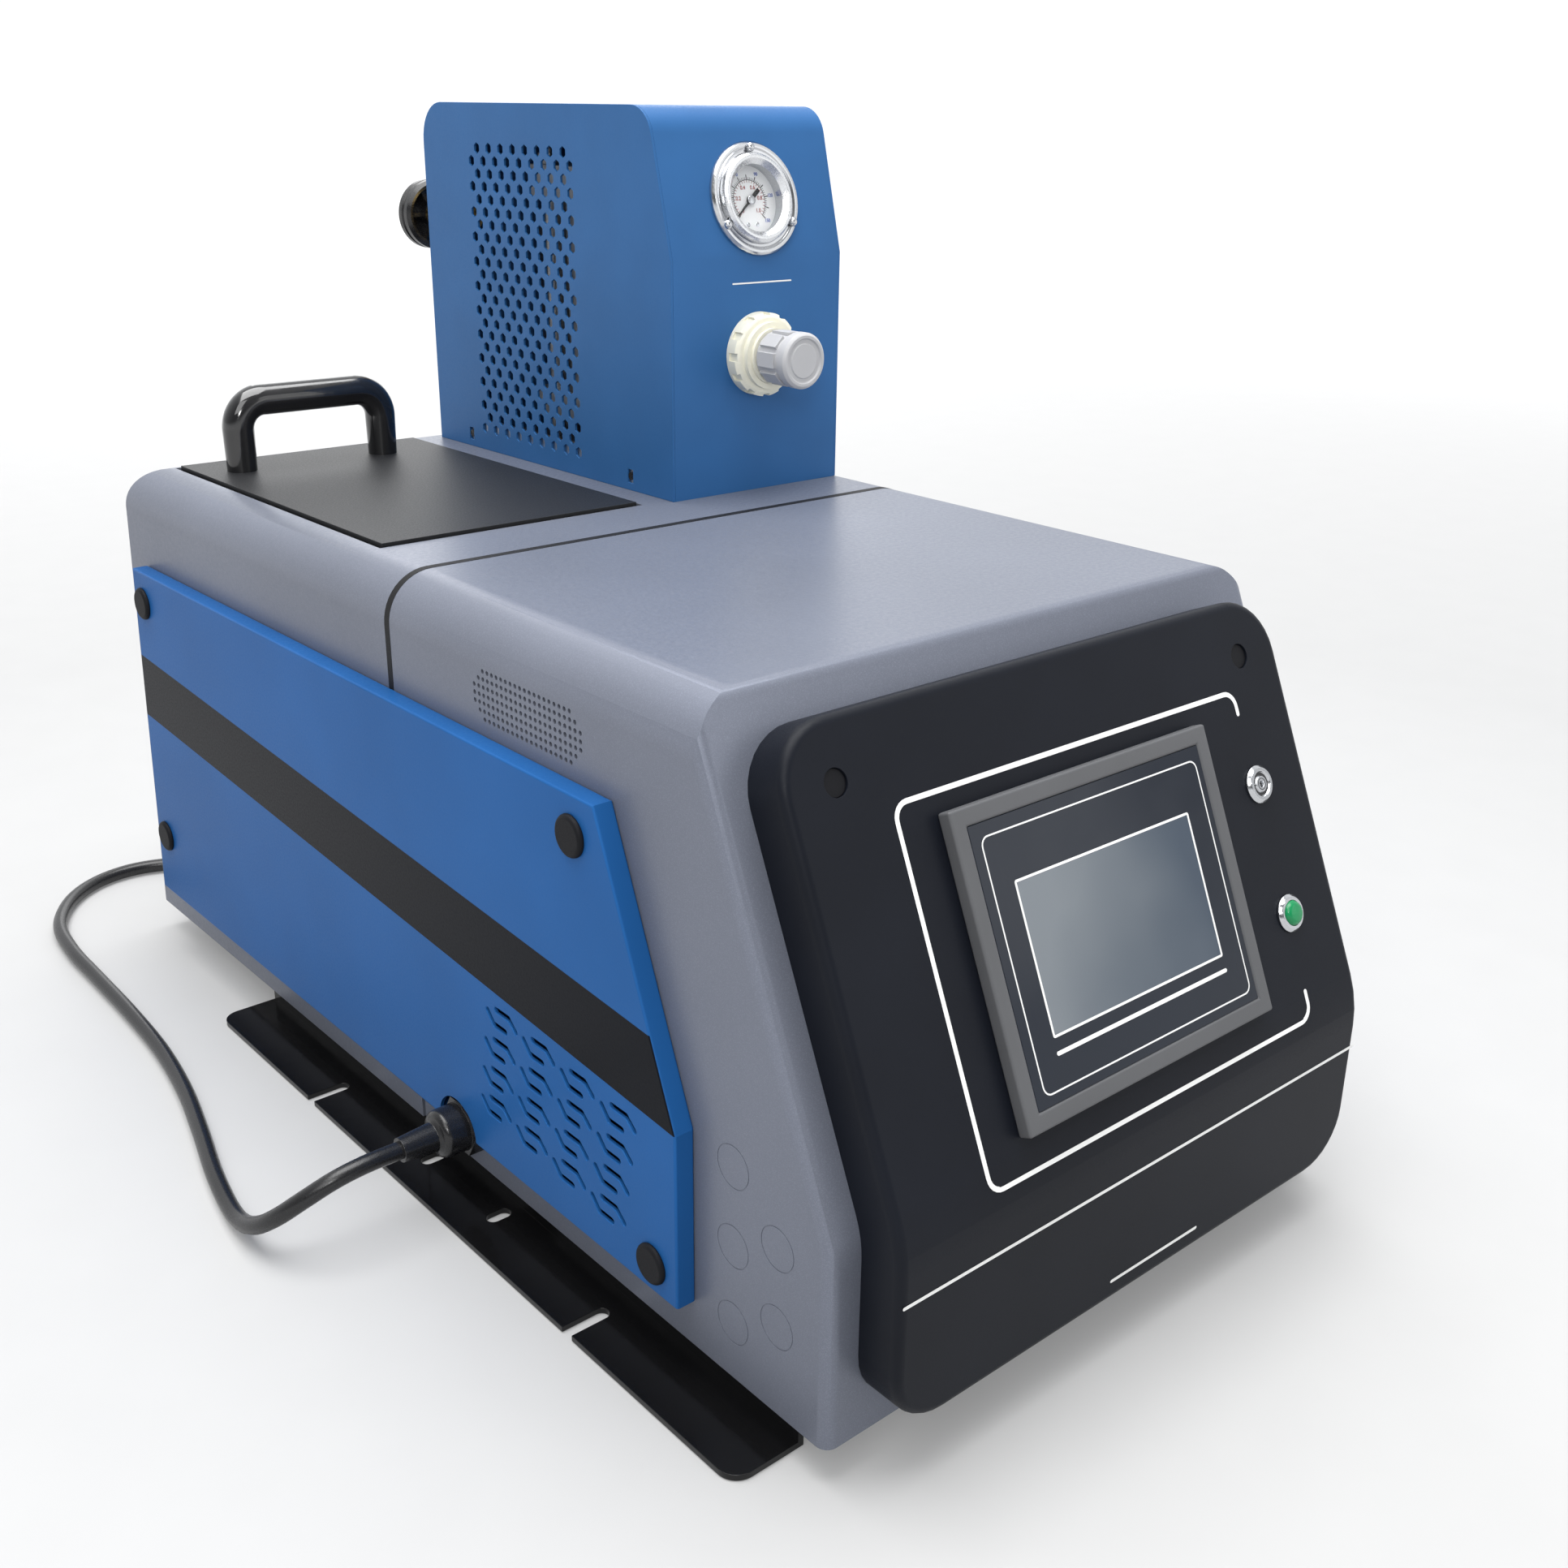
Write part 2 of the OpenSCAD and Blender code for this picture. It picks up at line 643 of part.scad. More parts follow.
// Touch screen: bezel, glass and the case behind the panel
glass_drop = 0.5;
module screen_bezel() {
    seat = hmi_glass_t + glass_drop;
    w = hmi_w - 2 * hmi_frame;
    h = hmi_h - 2 * hmi_frame;
    color([0.4, 0.4, 0.41]) on_face(hmi_x, hmi_v) difference() {
        translate([-hmi_w / 2, -hmi_h / 2, 0]) cube([hmi_w, hmi_h, hmi_proud]);
        translate([-w / 2, -h / 2, hmi_proud - seat]) cube([w, h, seat + cut]);
        translate([-case_w / 2 - free_fit, -case_h / 2 - free_fit, -cut])
            cube([case_w + 2 * free_fit, case_h + 2 * free_fit, hmi_proud]);
    }
}
module screen_glass() {
    w = hmi_w - 2 * hmi_frame - 2 * run_fit;
    h = hmi_h - 2 * hmi_frame - 2 * run_fit;
    color([0.1, 0.12, 0.16]) on_face(hmi_x, hmi_v, hmi_proud - glass_drop - hmi_glass_t)
        translate([-w / 2, -h / 2, 0]) cube([w, h, hmi_glass_t]);
}
module screen_case() {
    front = hmi_proud - glass_drop - hmi_glass_t;
    color([0.2, 0.2, 0.21]) on_face(hmi_x, hmi_v) {
        translate([-case_w / 2, -case_h / 2, -hmi_depth]) cube([case_w, case_h, hmi_depth + front]);
    }
}

// Alarm buzzer and power lamp in steel bezels, each held by a nut
thread_len = panel_proud - 4;
lens_d = 12;
signal_nut_t = 4;
module buzzer() {
    r = lamp_d / 2;
    color([0.75, 0.76, 0.77]) on_face(lamp_x, buzzer_v) rotate_extrude() polygon([
        [0, -thread_len], [lamp_thread / 2, -thread_len], [lamp_thread / 2, 0],
        [r, 0], [r, 1], [r - 1.5, 2.6], [r - 3, 2.6], [r - 3.6, 1.6], [r - 5, 1.6], [r - 5.4, 2.4],
        [1.6, 2.4], [1.2, 0.8], [0, 0.8]
    ]);
}
module power_lamp_bezel() {
    r = lamp_d / 2;
    color([0.75, 0.76, 0.77]) on_face(lamp_x, lamp_v) rotate_extrude() polygon([
        [lens_d / 2, -thread_len], [lamp_thread / 2, -thread_len], [lamp_thread / 2, 0],
        [r, 0], [r, 1], [r - 1.5, 2.6], [lens_d / 2, 2.6]
    ]);
}
module power_lamp_lens() {
    r = lens_d / 2 - run_fit;
    color([0.1, 0.55, 0.25]) on_face(lamp_x, lamp_v) rotate_extrude()
        polygon(concat([[0, -8], [r, -8]], arc([r - 3, 1.8], 3, 0, 90, 6), [[0, 5.2]]));
}
module signal_nuts() {
    n = -panel_t - signal_nut_t - run_fit;
    color([0.7, 0.7, 0.72]) for (v = [buzzer_v, lamp_v]) on_face(lamp_x, v, n) difference() {
        cylinder(d = (lamp_thread + 4) / cos(30), h = signal_nut_t, $fn = 6);
        translate([0, 0, -cut]) cylinder(d = lamp_thread + 2 * run_fit, h = signal_nut_t + 2 * cut);
    }
}

// Where the handle's two legs stand on the lid
module handle_feet() {
    for (s = [-1, 1]) translate([handle_x + s * handle_pitch / 2, handle_y, lid_top]) children();
}
// Tank lid with two ears that turn on the hinge pins
module tank_lid() {
    color([0.09, 0.09, 0.1]) difference() {
        union() {
            block([lid_x0, lid_y0, lid_top - lid_t], [lid_x1, lid_y1, lid_top]);
            for (x = ear_x) {
                bar([x, pivot_y, pivot_z], "x", 2 * ear_r, ear_t);
                block([x, pivot_y - ear_r, pivot_z], [x + ear_t, pivot_y + ear_r, lid_top - lid_t]);
            }
        }
        for (x = ear_x) bar([x - cut, pivot_y, pivot_z], "x", pin_d + 2 * run_fit, ear_t + 2 * cut);
        handle_feet() translate([0, 0, -lid_t - cut])
            cylinder(d = screw_d + 2 * run_fit, h = lid_t + 2 * cut);
    }
}
// Bridge handle: two legs and a bar joined by round bends
screw_d = 5;
screw_bite = 14;
screw_head = 3;
bend_r = 16;
module lid_handle() {
    leg = handle_h - handle_d / 2 - bend_r;
    half = handle_pitch / 2;
    color([0.05, 0.05, 0.06]) difference() {
        translate([handle_x, handle_y, lid_top]) {
            for (s = [-1, 1]) {
                translate([s * half, 0, 0]) cylinder(d = handle_d, h = leg);
                translate([s * (half - bend_r), 0, leg]) rotate([90, 0, 0]) rotate([0, 0, s < 0 ? 90 : 0])
                    rotate_extrude(angle = 90) translate([bend_r, 0]) circle(d = handle_d);
            }
            bar([bend_r - half, 0, leg + bend_r], "x", handle_d, 2 * (half - bend_r));
        }
        handle_feet() translate([0, 0, -cut]) cylinder(d = screw_d + 2 * run_fit, h = screw_bite + cut);
    }
}
module handle_screws() {
    color([0.6, 0.6, 0.62]) handle_feet() translate([0, 0, -lid_t]) {
        cylinder(d = screw_d, h = lid_t + screw_bite - cut);
        translate([0, 0, -screw_head]) cylinder(d = 2 * screw_d, h = screw_head);
    }
}
// Brackets under the housing top that carry the hinge pins, one beside each ear
bracket_x = [lid_x0 - lid_gap - bracket_t - free_fit, lid_x1 + lid_gap + free_fit];
bracket_drop = 0.7;
module hinge_brackets() {
    color([0.55, 0.56, 0.58]) for (x = bracket_x) difference() {
        block([x, pivot_y - 12, pivot_z - 9], [x + bracket_t, pivot_y + 12, top_z - sheet - bracket_drop]);
        bar([x - cut, pivot_y, pivot_z], "x", pin_d + 2 * run_fit, bracket_t + 2 * cut);
    }
}
module hinge_pins() {
    head = 2;
    color([0.65, 0.66, 0.68]) {
        bar([bracket_x[0] - head, pivot_y, pivot_z], "x", pin_d, ear_x[0] + ear_t + 1 - bracket_x[0] + head);
        bar([bracket_x[0] - head, pivot_y, pivot_z], "x", 1.5 * pin_d, head);
        bar([ear_x[1] - 1, pivot_y, pivot_z], "x", pin_d, bracket_x[1] + bracket_t + head - ear_x[1] + 1);
        bar([bracket_x[1] + bracket_t, pivot_y, pivot_z], "x", 1.5 * pin_d, head);
    }
}

// Cast tank on four feet, with heaters along its floor
heater_d = 12;
heater_out = 16;
heaters = 3;
module heater_places() {
    pitch = (tank_x1 - tank_x0) / (heaters + 1);
    for (k = [1:heaters]) translate([tank_x0 + k * pitch, tank_y0, tank_z0 + tank_wall]) rotate([-90, 0, 0])
        children();
}
module glue_tank() {
    color([0.6, 0.61, 0.62]) difference() {
        union() {
            block([tank_x0, tank_y0, tank_z0], [tank_x1, tank_y1, tank_z1]);
            block([tank_x0 - 8, tank_y0 - 8, tank_z1 - 8], [tank_x1 + 4, tank_y1 + 8, tank_z1]);
        }
        block([tank_x0 + tank_wall, tank_y0 + tank_wall, tank_z0 + 2 * tank_wall],
              [tank_x1 - tank_wall, tank_y1 - tank_wall, tank_z1 + cut]);
        heater_places() translate([0, 0, -cut])
            cylinder(d = heater_d + 2 * run_fit, h = tank_y1 - tank_y0 - 2 * tank_wall + cut);
    }
}
module tank_feet() {
    color([0.75, 0.72, 0.66]) for (x = [tank_x0 + 18, tank_x1 - 18]) for (y = [tank_y0 + 18, tank_y1 - 18])
        bar([x, y, deck_z], "z", 20, tank_z0 - deck_z);
}
module tank_heaters() {
    color([0.7, 0.65, 0.5]) heater_places() translate([0, 0, -heater_out])
        cylinder(d = heater_d, h = tank_y1 - tank_y0 - 2 * tank_wall + heater_out - free_fit);
}
// Block that takes glue from the tank to the pump and on to the hoses
manifold_y0 = pump_y - 62;
manifold_half = 46;
manifold_y1 = body_rear - 16;
port_z = deck_z + 20;
module manifold_block() {
    color([0.62, 0.63, 0.64]) difference() {
        union() {
            block([pump_x - manifold_half, manifold_y0, deck_z],
                  [pump_x + manifold_half, manifold_y1, manifold_top]);
            block([tank_x1, manifold_y0 + 30, deck_z],
                  [pump_x - manifold_half, manifold_y0 + 90, manifold_top]);
        }
        for (x = port_x) bar([x, manifold_y1 - 15, port_z], "y", 12, 15 + cut);
    }
}
module filter_plug() {
    color([0.78, 0.66, 0.35]) {
        hex_bar([pump_x, manifold_y0 - 12, port_z], "y", 26, 8);
        bar([pump_x, manifold_y0 - 4, port_z], "y", 24, 4);
    }
}
// Hose outlets that pass through the rear wall, each closed by a blanking cap
nipple_out = 26;
module hose_nipples() {
    color([0.72, 0.73, 0.75]) for (x = port_x) {
        bar([x, manifold_y1, port_z], "y", port_d, body_rear - manifold_y1 + 6);
        hex_bar([x, body_rear + 3, port_z], "y", 24, 8);
        bar([x, body_rear + 10, port_z], "y", 17, nipple_out - 12);
        hex_bar([x, body_rear + nipple_out - 10, port_z], "y", 20, 10);
    }
}
// Round sockets for the heated hoses' cables, each closed by a ribbed cap
socket_ribs = 16;
module hose_sockets() {
    r = socket_d / 2;
    color([0.08, 0.08, 0.09]) for (x = port_x) socket_place(x) translate([0, 0, run_fit]) {
        translate([0, 0, -18]) cylinder(d = socket_d, h = 19);
        cylinder(d = socket_flange, h = 3);
        translate([0, 0, 3]) rotate_extrude() polygon([[0, 0], [r, 0], [r, 9], [r - 2, 11], [0, 11]]);
        around(socket_ribs) translate([r - 1, -0.8, 3]) cube([1.8, 1.6, 8]);
    }
}

// Glue pump: a barrel with the rod of the air cylinder working in it
module pump_barrel() {
    color([0.6, 0.61, 0.63]) difference() {
        union() {
            bar([pump_x, pump_y, manifold_top], "z", barrel_d, barrel_top - manifold_top);
            block([pump_x - cap_side / 2, pump_y - cap_side / 2, barrel_top - barrel_flange],
                  [pump_x + cap_side / 2, pump_y + cap_side / 2, barrel_top]);
        }
        bar([pump_x, pump_y, manifold_top + 20], "z", rod_d + 2 * run_fit, barrel_top);
    }
}
rod_foot = manifold_top + 60;
piston_z = tube_z0 + 3;
module pump_rod() {
    color([0.8, 0.81, 0.83]) {
        bar([pump_x, pump_y, rod_foot], "z", rod_d, piston_z + piston_t - rod_foot);
        bar([pump_x, pump_y, piston_z], "z", bore_d - 2 * run_fit, piston_t);
    }
}
module cylinder_tube() {
    color([0.8, 0.81, 0.83]) difference() {
        bar([pump_x, pump_y, tube_z0], "z", bore_d + 6, tube_len);
        bar([pump_x, pump_y, tube_z0 - cut], "z", bore_d, tube_len + 2 * cut);
    }
}
module tie_places() {
    for (sx = [-1, 1]) for (sy = [-1, 1])
        translate([pump_x + sx * tie_pitch / 2, pump_y + sy * tie_pitch / 2, 0]) children();
}
module cylinder_caps() {
    color([0.72, 0.73, 0.75]) for (z = [cylinder_z0, tube_z0 + tube_len]) difference() {
        block([pump_x - cap_side / 2, pump_y - cap_side / 2, z],
              [pump_x + cap_side / 2, pump_y + cap_side / 2, z + cap_t]);
        tie_places() translate([0, 0, z - cut]) cylinder(d = tie_d + 2 * run_fit, h = cap_t + 2 * cut);
        if (z == cylinder_z0) bar([pump_x, pump_y, z - cut], "z", rod_d + 2 * run_fit, cap_t + 2 * cut);
    }
}
// Tie rods stand on the pump flange, shoulder under the lower cap and end in nuts
module tie_rods() {
    color([0.68, 0.69, 0.7]) tie_places() {
        translate([0, 0, barrel_top]) cylinder(d = tie_d, h = cylinder_z1 + 9 - barrel_top);
        translate([0, 0, barrel_top]) cylinder(d = 1.6 * tie_d, h = cylinder_z0 - barrel_top);
        translate([0, 0, cylinder_z1]) cylinder(d = 13 / cos(30), h = 6, $fn = 6);
    }
}
// Valve on a plate across the rear of the cylinder caps, with two coils
module solenoid_valve() {
    y0 = pump_y + cap_side / 2;
    zm = tube_z0 + tube_len / 2;
    color([0.66, 0.67, 0.69]) {
        block([pump_x - 20, y0, cylinder_z0 + 2], [pump_x + 20, y0 + 6, cylinder_z1 - 2]);
        block([pump_x - 14, y0 + 6, zm - 40], [pump_x + 14, y0 + 34, zm + 40]);
        for (s = [-1, 1]) block([pump_x - 11, y0 + 10, zm + s * 52 - 12],
                                [pump_x + 11, y0 + 30, zm + s * 52 + 12]);
    }
}

// Side view of the tower, moved in by i
module tower_side(i) {
    rf = tower_r_front;
    zf = tower_top - rf;
    front = [tower_y0 + (zf - tower_bend_z) * tan(tower_tilt) + rf / cos(tower_tilt), zf];
    rear = [tower_y1 - tower_r_rear, tower_top - tower_r_rear];
    z0 = top_z - (i > 0 ? cut : 0);
    polygon(concat(
        [[tower_y0 + i, z0], [tower_y1 - i, z0]],
        arc(rear, tower_r_rear - i, 0, 90),
        arc(front, rf - i, 90, 180 - tower_tilt),
        [[tower_y0 + i, tower_bend_z - i * tan(tower_tilt / 2)]]
    ));
}
gauge_u = tower_mid + 2.4;
module gauge_screw_places() {
    on_tower(gauge_u, gauge_v) rotate([0, 0, 90]) around(3) translate([gauge_d / 2 - 3.6, 0, 0]) children();
}
// Sheet that wraps the tower's front, top and rear
module tower_shell() {
    color([0.22, 0.38, 0.62]) difference() {
        prism_x(tower_x0 + tower_t, tower_x1 - tower_t) tower_side(0);
        prism_x(tower_x0, tower_x1) tower_side(tower_t);
        on_tower(gauge_u, gauge_v, -20) cylinder(d = case_d + 2 * free_fit, h = 40);
        gauge_screw_places() translate([0, 0, -10]) cylinder(d = gauge_screw + 2 * run_fit, h = 20);
        bar([tower_mid, tower_y0 - cut, reg_z], "y", neck_d + 2 * run_fit, tower_t + 2 * cut);
        bar([valve_x, tower_y1 - tower_t - cut, valve_z], "y", valve_pipe + 2 * run_fit, tower_t + 2 * cut);
    }
}
hex_rows = 24;
hex_pitch = [12.86, 7.15];
hex_first = [97.5, 178];
fix_y = [40, 210.5];
fix_z = top_z + 8;
fix_w = 5;
fix_h = 7.5;
// Flat side with its field of hexagonal holes
module tower_plate(x0) {
    color([0.22, 0.38, 0.62]) difference() {
        prism_x(x0, x0 + tower_t) tower_side(0);
        prism_x(x0 - cut, x0 + tower_t + cut) {
            for (r = [0:hex_rows - 1]) for (k = [0:7 + r % 2])
                translate([tower_y0, top_z] + hex_first + [(k - r % 2 / 2) * hex_pitch[0], -r * hex_pitch[1]])
                    rotate(30) circle(d = hex_size / cos(30), $fn = 6);
        }
        for (y = fix_y) block([x0 - cut, tower_y0 + y - fix_w / 2, fix_z - fix_h / 2],
                              [x0 + tower_t + cut, tower_y0 + y + fix_w / 2, fix_z + fix_h / 2]);
    }
}
module tower_left_side() { tower_plate(tower_x0); }
module tower_right_side() { tower_plate(tower_x1 - tower_t); }
// Angles on the housing top that the tower is screwed to
angle_t = 3;
angle_h = 18;
angle_w = 9;
tower_screw = 4.4;
module tower_brackets() {
    w = tower_w / 2 - tower_t - run_fit;
    color([0.6, 0.61, 0.63]) translate([tower_mid, 0, top_z]) both_sides() difference() {
        prism_y(tower_y0 + 20, tower_y1 - 20) polygon([
            [w - angle_w, 0], [w, 0], [w, angle_h], [w - angle_t, angle_h], [w - angle_t, angle_t],
            [w - angle_w, angle_t]
        ]);
        for (y = fix_y) bar([w - angle_t - cut, tower_y0 + y, fix_z - top_z], "x", tower_screw + 2 * run_fit,
                            angle_t + 2 * cut);
    }
}
module tower_screws() {
    color([0.12, 0.12, 0.13]) translate([tower_mid, tower_y0, fix_z]) both_sides()
        for (y = fix_y) bar([tower_w / 2 - 12, y, 0], "x", tower_screw, 11.6);
}

// Pressure regulator: the body hangs inside the tower by its neck and panel nut
module regulator_body() {
    y0 = tower_y0 + tower_t;
    color([0.85, 0.85, 0.8]) difference() {
        union() {
            bar([tower_mid, y0, reg_z], "y", nut_d, 56);
            bar([tower_mid, tower_y0 - neck_len, reg_z], "y", neck_d, neck_len + tower_t);
            bar([tower_mid, y0 + 20, reg_z - 34], "z", 14, 14);
        }
        bar([tower_mid, tower_y0 - neck_len - cut, reg_z], "y", spindle_d + 2 * run_fit, 46);
    }
}
nut_notches = 12;
module regulator_nut() {
    r = nut_d / 2;
    color([0.93, 0.92, 0.82]) translate([tower_mid, tower_y0, reg_z]) rotate([90, 0, 0]) difference() {
        union() {
            rotate_extrude() polygon([[0, 0], [r, 0], [r, nut_t - 2], [r - 3, nut_t], [0, nut_t]]);
            cylinder(d = neck_d + 6, h = nut_t + 3);
        }
        translate([0, 0, -cut]) cylinder(d = neck_d + 2 * run_fit, h = nut_t + 3 + 2 * cut);
        around(nut_notches) translate([r - 1.4, -2.2, 2]) cube([4, 4.4, nut_t]);
    }
}
knob_gap = 0.5;
knob_y = tower_y0 - neck_len - knob_gap;
knob_bore = 18;
spindle_bite = 40;
knob_pads = 8;
module regulator_spindle() {
    color([0.7, 0.71, 0.73]) bar([tower_mid, knob_y - knob_bore + knob_pull, reg_z], "y", spindle_d,
        knob_bore - knob_pull + knob_gap + spindle_bite);
}
// Knob with raised grip pads and a ringed end
module regulator_knob() {
    r = knob_d / 2;
    h = knob_len;
    color([0.74, 0.74, 0.75]) translate([tower_mid, knob_y, reg_z]) rotate([90, 0, 0]) difference() {
        union() {
            rotate_extrude() polygon([
                [0, 0], [r - 0.5, 0], [r - 1, h - 8], [r + 1, h - 6], [r + 1, h - 1.5], [r - 0.5, h],
                [r - 2, h], [r - 2.6, h - 1], [r - 4.6, h - 1], [r - 5, h - 0.4], [0, h - 0.4]
            ]);
            around(knob_pads) translate([r - 3, -4, 2]) cube([3.4, 8, h - 12]);
        }
        translate([0, 0, -cut]) cylinder(d = spindle_d + 2 * run_fit, h = knob_bore + cut);
    }
}

// Pressure gauge in the leaning front
flange_t = 3;
case_depth = 26;
dial_z = -5;
dial_t = 1;
gauge_screw = 3;
needle_pin = 2;
module gauge_case() {
    r = gauge_d / 2;
    w = dial_d / 2 + 1;
    color([0.8, 0.81, 0.82]) difference() {
        on_tower(gauge_u, gauge_v) rotate_extrude() polygon([
            [0, -case_depth], [case_d / 2, -case_depth], [case_d / 2, 0], [r, 0], [r, 1.2],
            [r - 1.4, flange_t], [r - 2.6, flange_t], [r - 5, 1.6], [r - 6, 1.6], [r - 6.4, flange_t],
            [w, flange_t], [w, dial_z], [0, dial_z]
        ]);
        gauge_screw_places() translate([0, 0, -cut])
            cylinder(d = gauge_screw + 2 * run_fit, h = flange_t + 2 * cut);
        on_tower(gauge_u, gauge_v, dial_z - 4) cylinder(d = needle_pin + 2 * run_fit, h = 6);
    }
}
module gauge_ring() {
    w = dial_d / 2;
    color([0.94, 0.93, 0.9]) on_tower(gauge_u, gauge_v, flange_t) rotate_extrude() polygon([
        [w, 0], [w + 6, 0], [w + 6, 1.4], [w + 4.4, 3], [w + 3, 3]
    ]);
}
module gauge_dial() {
    color([0.92, 0.93, 0.95]) on_tower(gauge_u, gauge_v, dial_z) difference() {
        cylinder(d = dial_d + 2 - 2 * run_fit, h = dial_t);
        translate([0, 0, -cut]) cylinder(d = needle_pin + 2 * run_fit, h = dial_t + 2 * cut);
    }
}
needle_rest = 219;
needle_z = 4.6;
needle_t = 0.8;
module gauge_needle() {
    tip = dial_d / 2 - 3.5;
    color([0.1, 0.1, 0.11]) on_tower(gauge_u, gauge_v, dial_z - 3) rotate([0, 0, needle_rest]) {
        cylinder(d = needle_pin, h = needle_z + needle_t);
        translate([0, 0, needle_z]) linear_extrude(needle_t) polygon([
            [-8.5, -1.1], [-2, -1.1], [-2, -0.7], [tip, -0.2], [tip, 0.2], [-2, 0.7], [-2, 1.1], [-8.5, 1.1]
        ]);
        translate([0, 0, needle_z]) cylinder(d = 4.6, h = 1.4);
    }
}
module gauge_glass() {
    color([0.85, 0.9, 0.95, 0.35]) on_tower(gauge_u, gauge_v, flange_t - 1)
        cylinder(d = dial_d + 2 - 2 * run_fit, h = 1);
}
module gauge_screws() {
    color([0.8, 0.8, 0.82]) gauge_screw_places() {
        translate([0, 0, -6]) cylinder(d = gauge_screw, h = 6 + flange_t);
        translate([0, 0, flange_t]) rotate_extrude()
            polygon(concat([[0, 0]], arc([0, 0], 0.85 * gauge_screw, 0, 90, 5)));
    }
}

// Air shut-off valve on the tower's rear, with its handwheel
valve_pipe = 14;
tail_d = 8;
tail_len = 16;
module air_valve() {
    color([0.75, 0.62, 0.32]) difference() {
        union() {
            bar([valve_x, tower_y1 - 20, valve_z], "y", valve_pipe, 22);
            hex_bar([valve_x, tower_y1, valve_z], "y", 22, 8);
            bar([valve_x, tower_y1 + 8, valve_z], "y", 18, wheel_y - tower_y1 - 8 - knob_gap);
            bar([valve_x, tower_y1 + 12, valve_z - 16], "z", 14, 14);
            bar([valve_x, tower_y1 + 12, valve_z - 16 - tail_len], "z", tail_d, tail_len + cut);
        }
        bar([valve_x, tower_y1 + 4, valve_z], "y", valve_stem_d + 2 * run_fit, 40);
    }
}
// Handwheel: a dished knob with a grooved rim and ribs on the side towards the tower
wheel_ribs = 6;
wheel_web = 4;
module valve_wheel() {
    r = wheel_d / 2;
    web_z = wheel_t - wheel_web;
    color([0.07, 0.07, 0.08]) translate([valve_x, wheel_y, valve_z]) rotate([-90, 0, 0]) {
        translate([0, 0, -18]) cylinder(d = valve_stem_d, h = 20);
        rotate_extrude() polygon([
            [0, 0], [8, 0], [7, web_z], [r - 4, web_z], [r - 4, 1], [r - 2, 0], [r, 2], [r, 5.6],
            [r - 0.9, 6.4], [r - 0.9, 7.6], [r, 8.4], [r, wheel_t - 2], [r - 2, wheel_t], [0, wheel_t]
        ]);
        around(wheel_ribs) translate([6, -1.2, 3]) cube([r - 9, 2.4, web_z - 2]);
    }
}

// Power supply, relays and terminals on the deck behind the operator panel
electrics_y = -body_front + 117;
supply_at = -120;
supply_size = [110, 95, 45];
relays = 3;
relay_at = 15;
relay_size = [28, 60, 32];
relay_gap = 6;
terminal_size = [96, 18, 24];
terminal_gap = 12;
module electrics() {
    color([0.7, 0.71, 0.7]) translate([0, electrics_y, deck_z]) {
        translate([supply_at, 0, 0]) cube(supply_size);
        for (k = [0:relays - 1]) translate([relay_at + k * (relay_size[0] + relay_gap), 0, 0])
            cube(relay_size);
        translate([relay_at, relay_size[1] + terminal_gap, 0]) cube(terminal_size);
    }
}

// Cable gland: threaded body through the wall, hexagon, domed nut and bend relief
gland_thread = 20;
module cable_gland() {
    color([0.06, 0.06, 0.07]) translate([-half_w, gland_y, gland_z]) rotate([0, -90, 0]) difference() {
        union() {
            translate([0, 0, -14]) cylinder(d = gland_thread, h = 14);
            translate([0, 0, -sheet - 5]) cylinder(d = gland_af / cos(30), h = 5, $fn = 6);
            rotate([0, 0, 30]) cylinder(d = gland_af / cos(30), h = 9, $fn = 6);
            rotate_extrude() polygon(concat([[0, 8], [12.4, 8], [12.4, 19]], arc([8.4, 19], 4, 0, 80, 4),
                                            [[7.4, 24], [6.2, gland_len], [0, gland_len]]));
        }
        translate([0, 0, -14 - cut]) cylinder(d = cord_d + 2 * run_fit, h = 14 + gland_len - 6);
    }
}
// A tube swept along a route, with rings square to the way between the points beside each one
tube_sides = 10;
function way(p, k) = let (v = p[min(k + 1, len(p) - 1)] - p[max(k - 1, 0)]) v / norm(v);
function ring(c, t, d) =
    let (u = cross([0, 0, 1], t), a = u / norm(u), b = cross(t, a))
    [for (k = [0:tube_sides - 1]) let (w = 360 * k / tube_sides) c + d / 2 * (cos(w) * a + sin(w) * b)];
module tube(p, d) {
    n = len(p);
    points = [for (k = [0:n - 1]) each ring(p[k], way(p, k), d)];
    wall = [for (k = [0:n - 2]) for (j = [0:tube_sides - 1]) let (q = (j + 1) % tube_sides)
        [k * tube_sides + j, k * tube_sides + q, (k + 1) * tube_sides + q, (k + 1) * tube_sides + j]];
    ends = [[for (j = [tube_sides - 1:-1:0]) j], [for (j = [0:tube_sides - 1]) (n - 1) * tube_sides + j]];
    polyhedron(points, [for (f = concat(wall, ends)) [for (j = [len(f) - 1:-1:0]) f[j]]]);
}
module cord_lead() {
    color([0.06, 0.06, 0.07]) tube(cord_route, cord_d);
}
module cord_coil() {
    h = coil_rows * cord_d;
    color([0.06, 0.06, 0.07]) translate([coil_at[0], coil_at[1], floor_gap]) rotate_extrude()
        translate([coil_d / 2 - cord_d, 0]) square([2 * cord_d, h]);
}
// Mains plug beside the coil
plug_d = 36;
plug_x = -50;
plug_len = 86;
pin_pitch = 19;
module power_plug() {
    r = plug_d / 2;
    c = cord_d / 2;
    plug_y = coil_at[1] - coil_d / 2 - c;
    color([0.07, 0.07, 0.08]) translate([plug_x, plug_y, r + floor_gap]) rotate([0, 90, 0]) {
        rotate_extrude() polygon([
            [0, 0], [c + 1, 0], [c + 2.5, 34], [r - 4, 40], [r, 46],
            [r, plug_len - 2], [r - 2, plug_len], [0, plug_len]
        ]);
        for (s = [-1, 1]) translate([0, s * pin_pitch / 2, plug_len]) cylinder(d = 4.8, h = 19);
    }
}

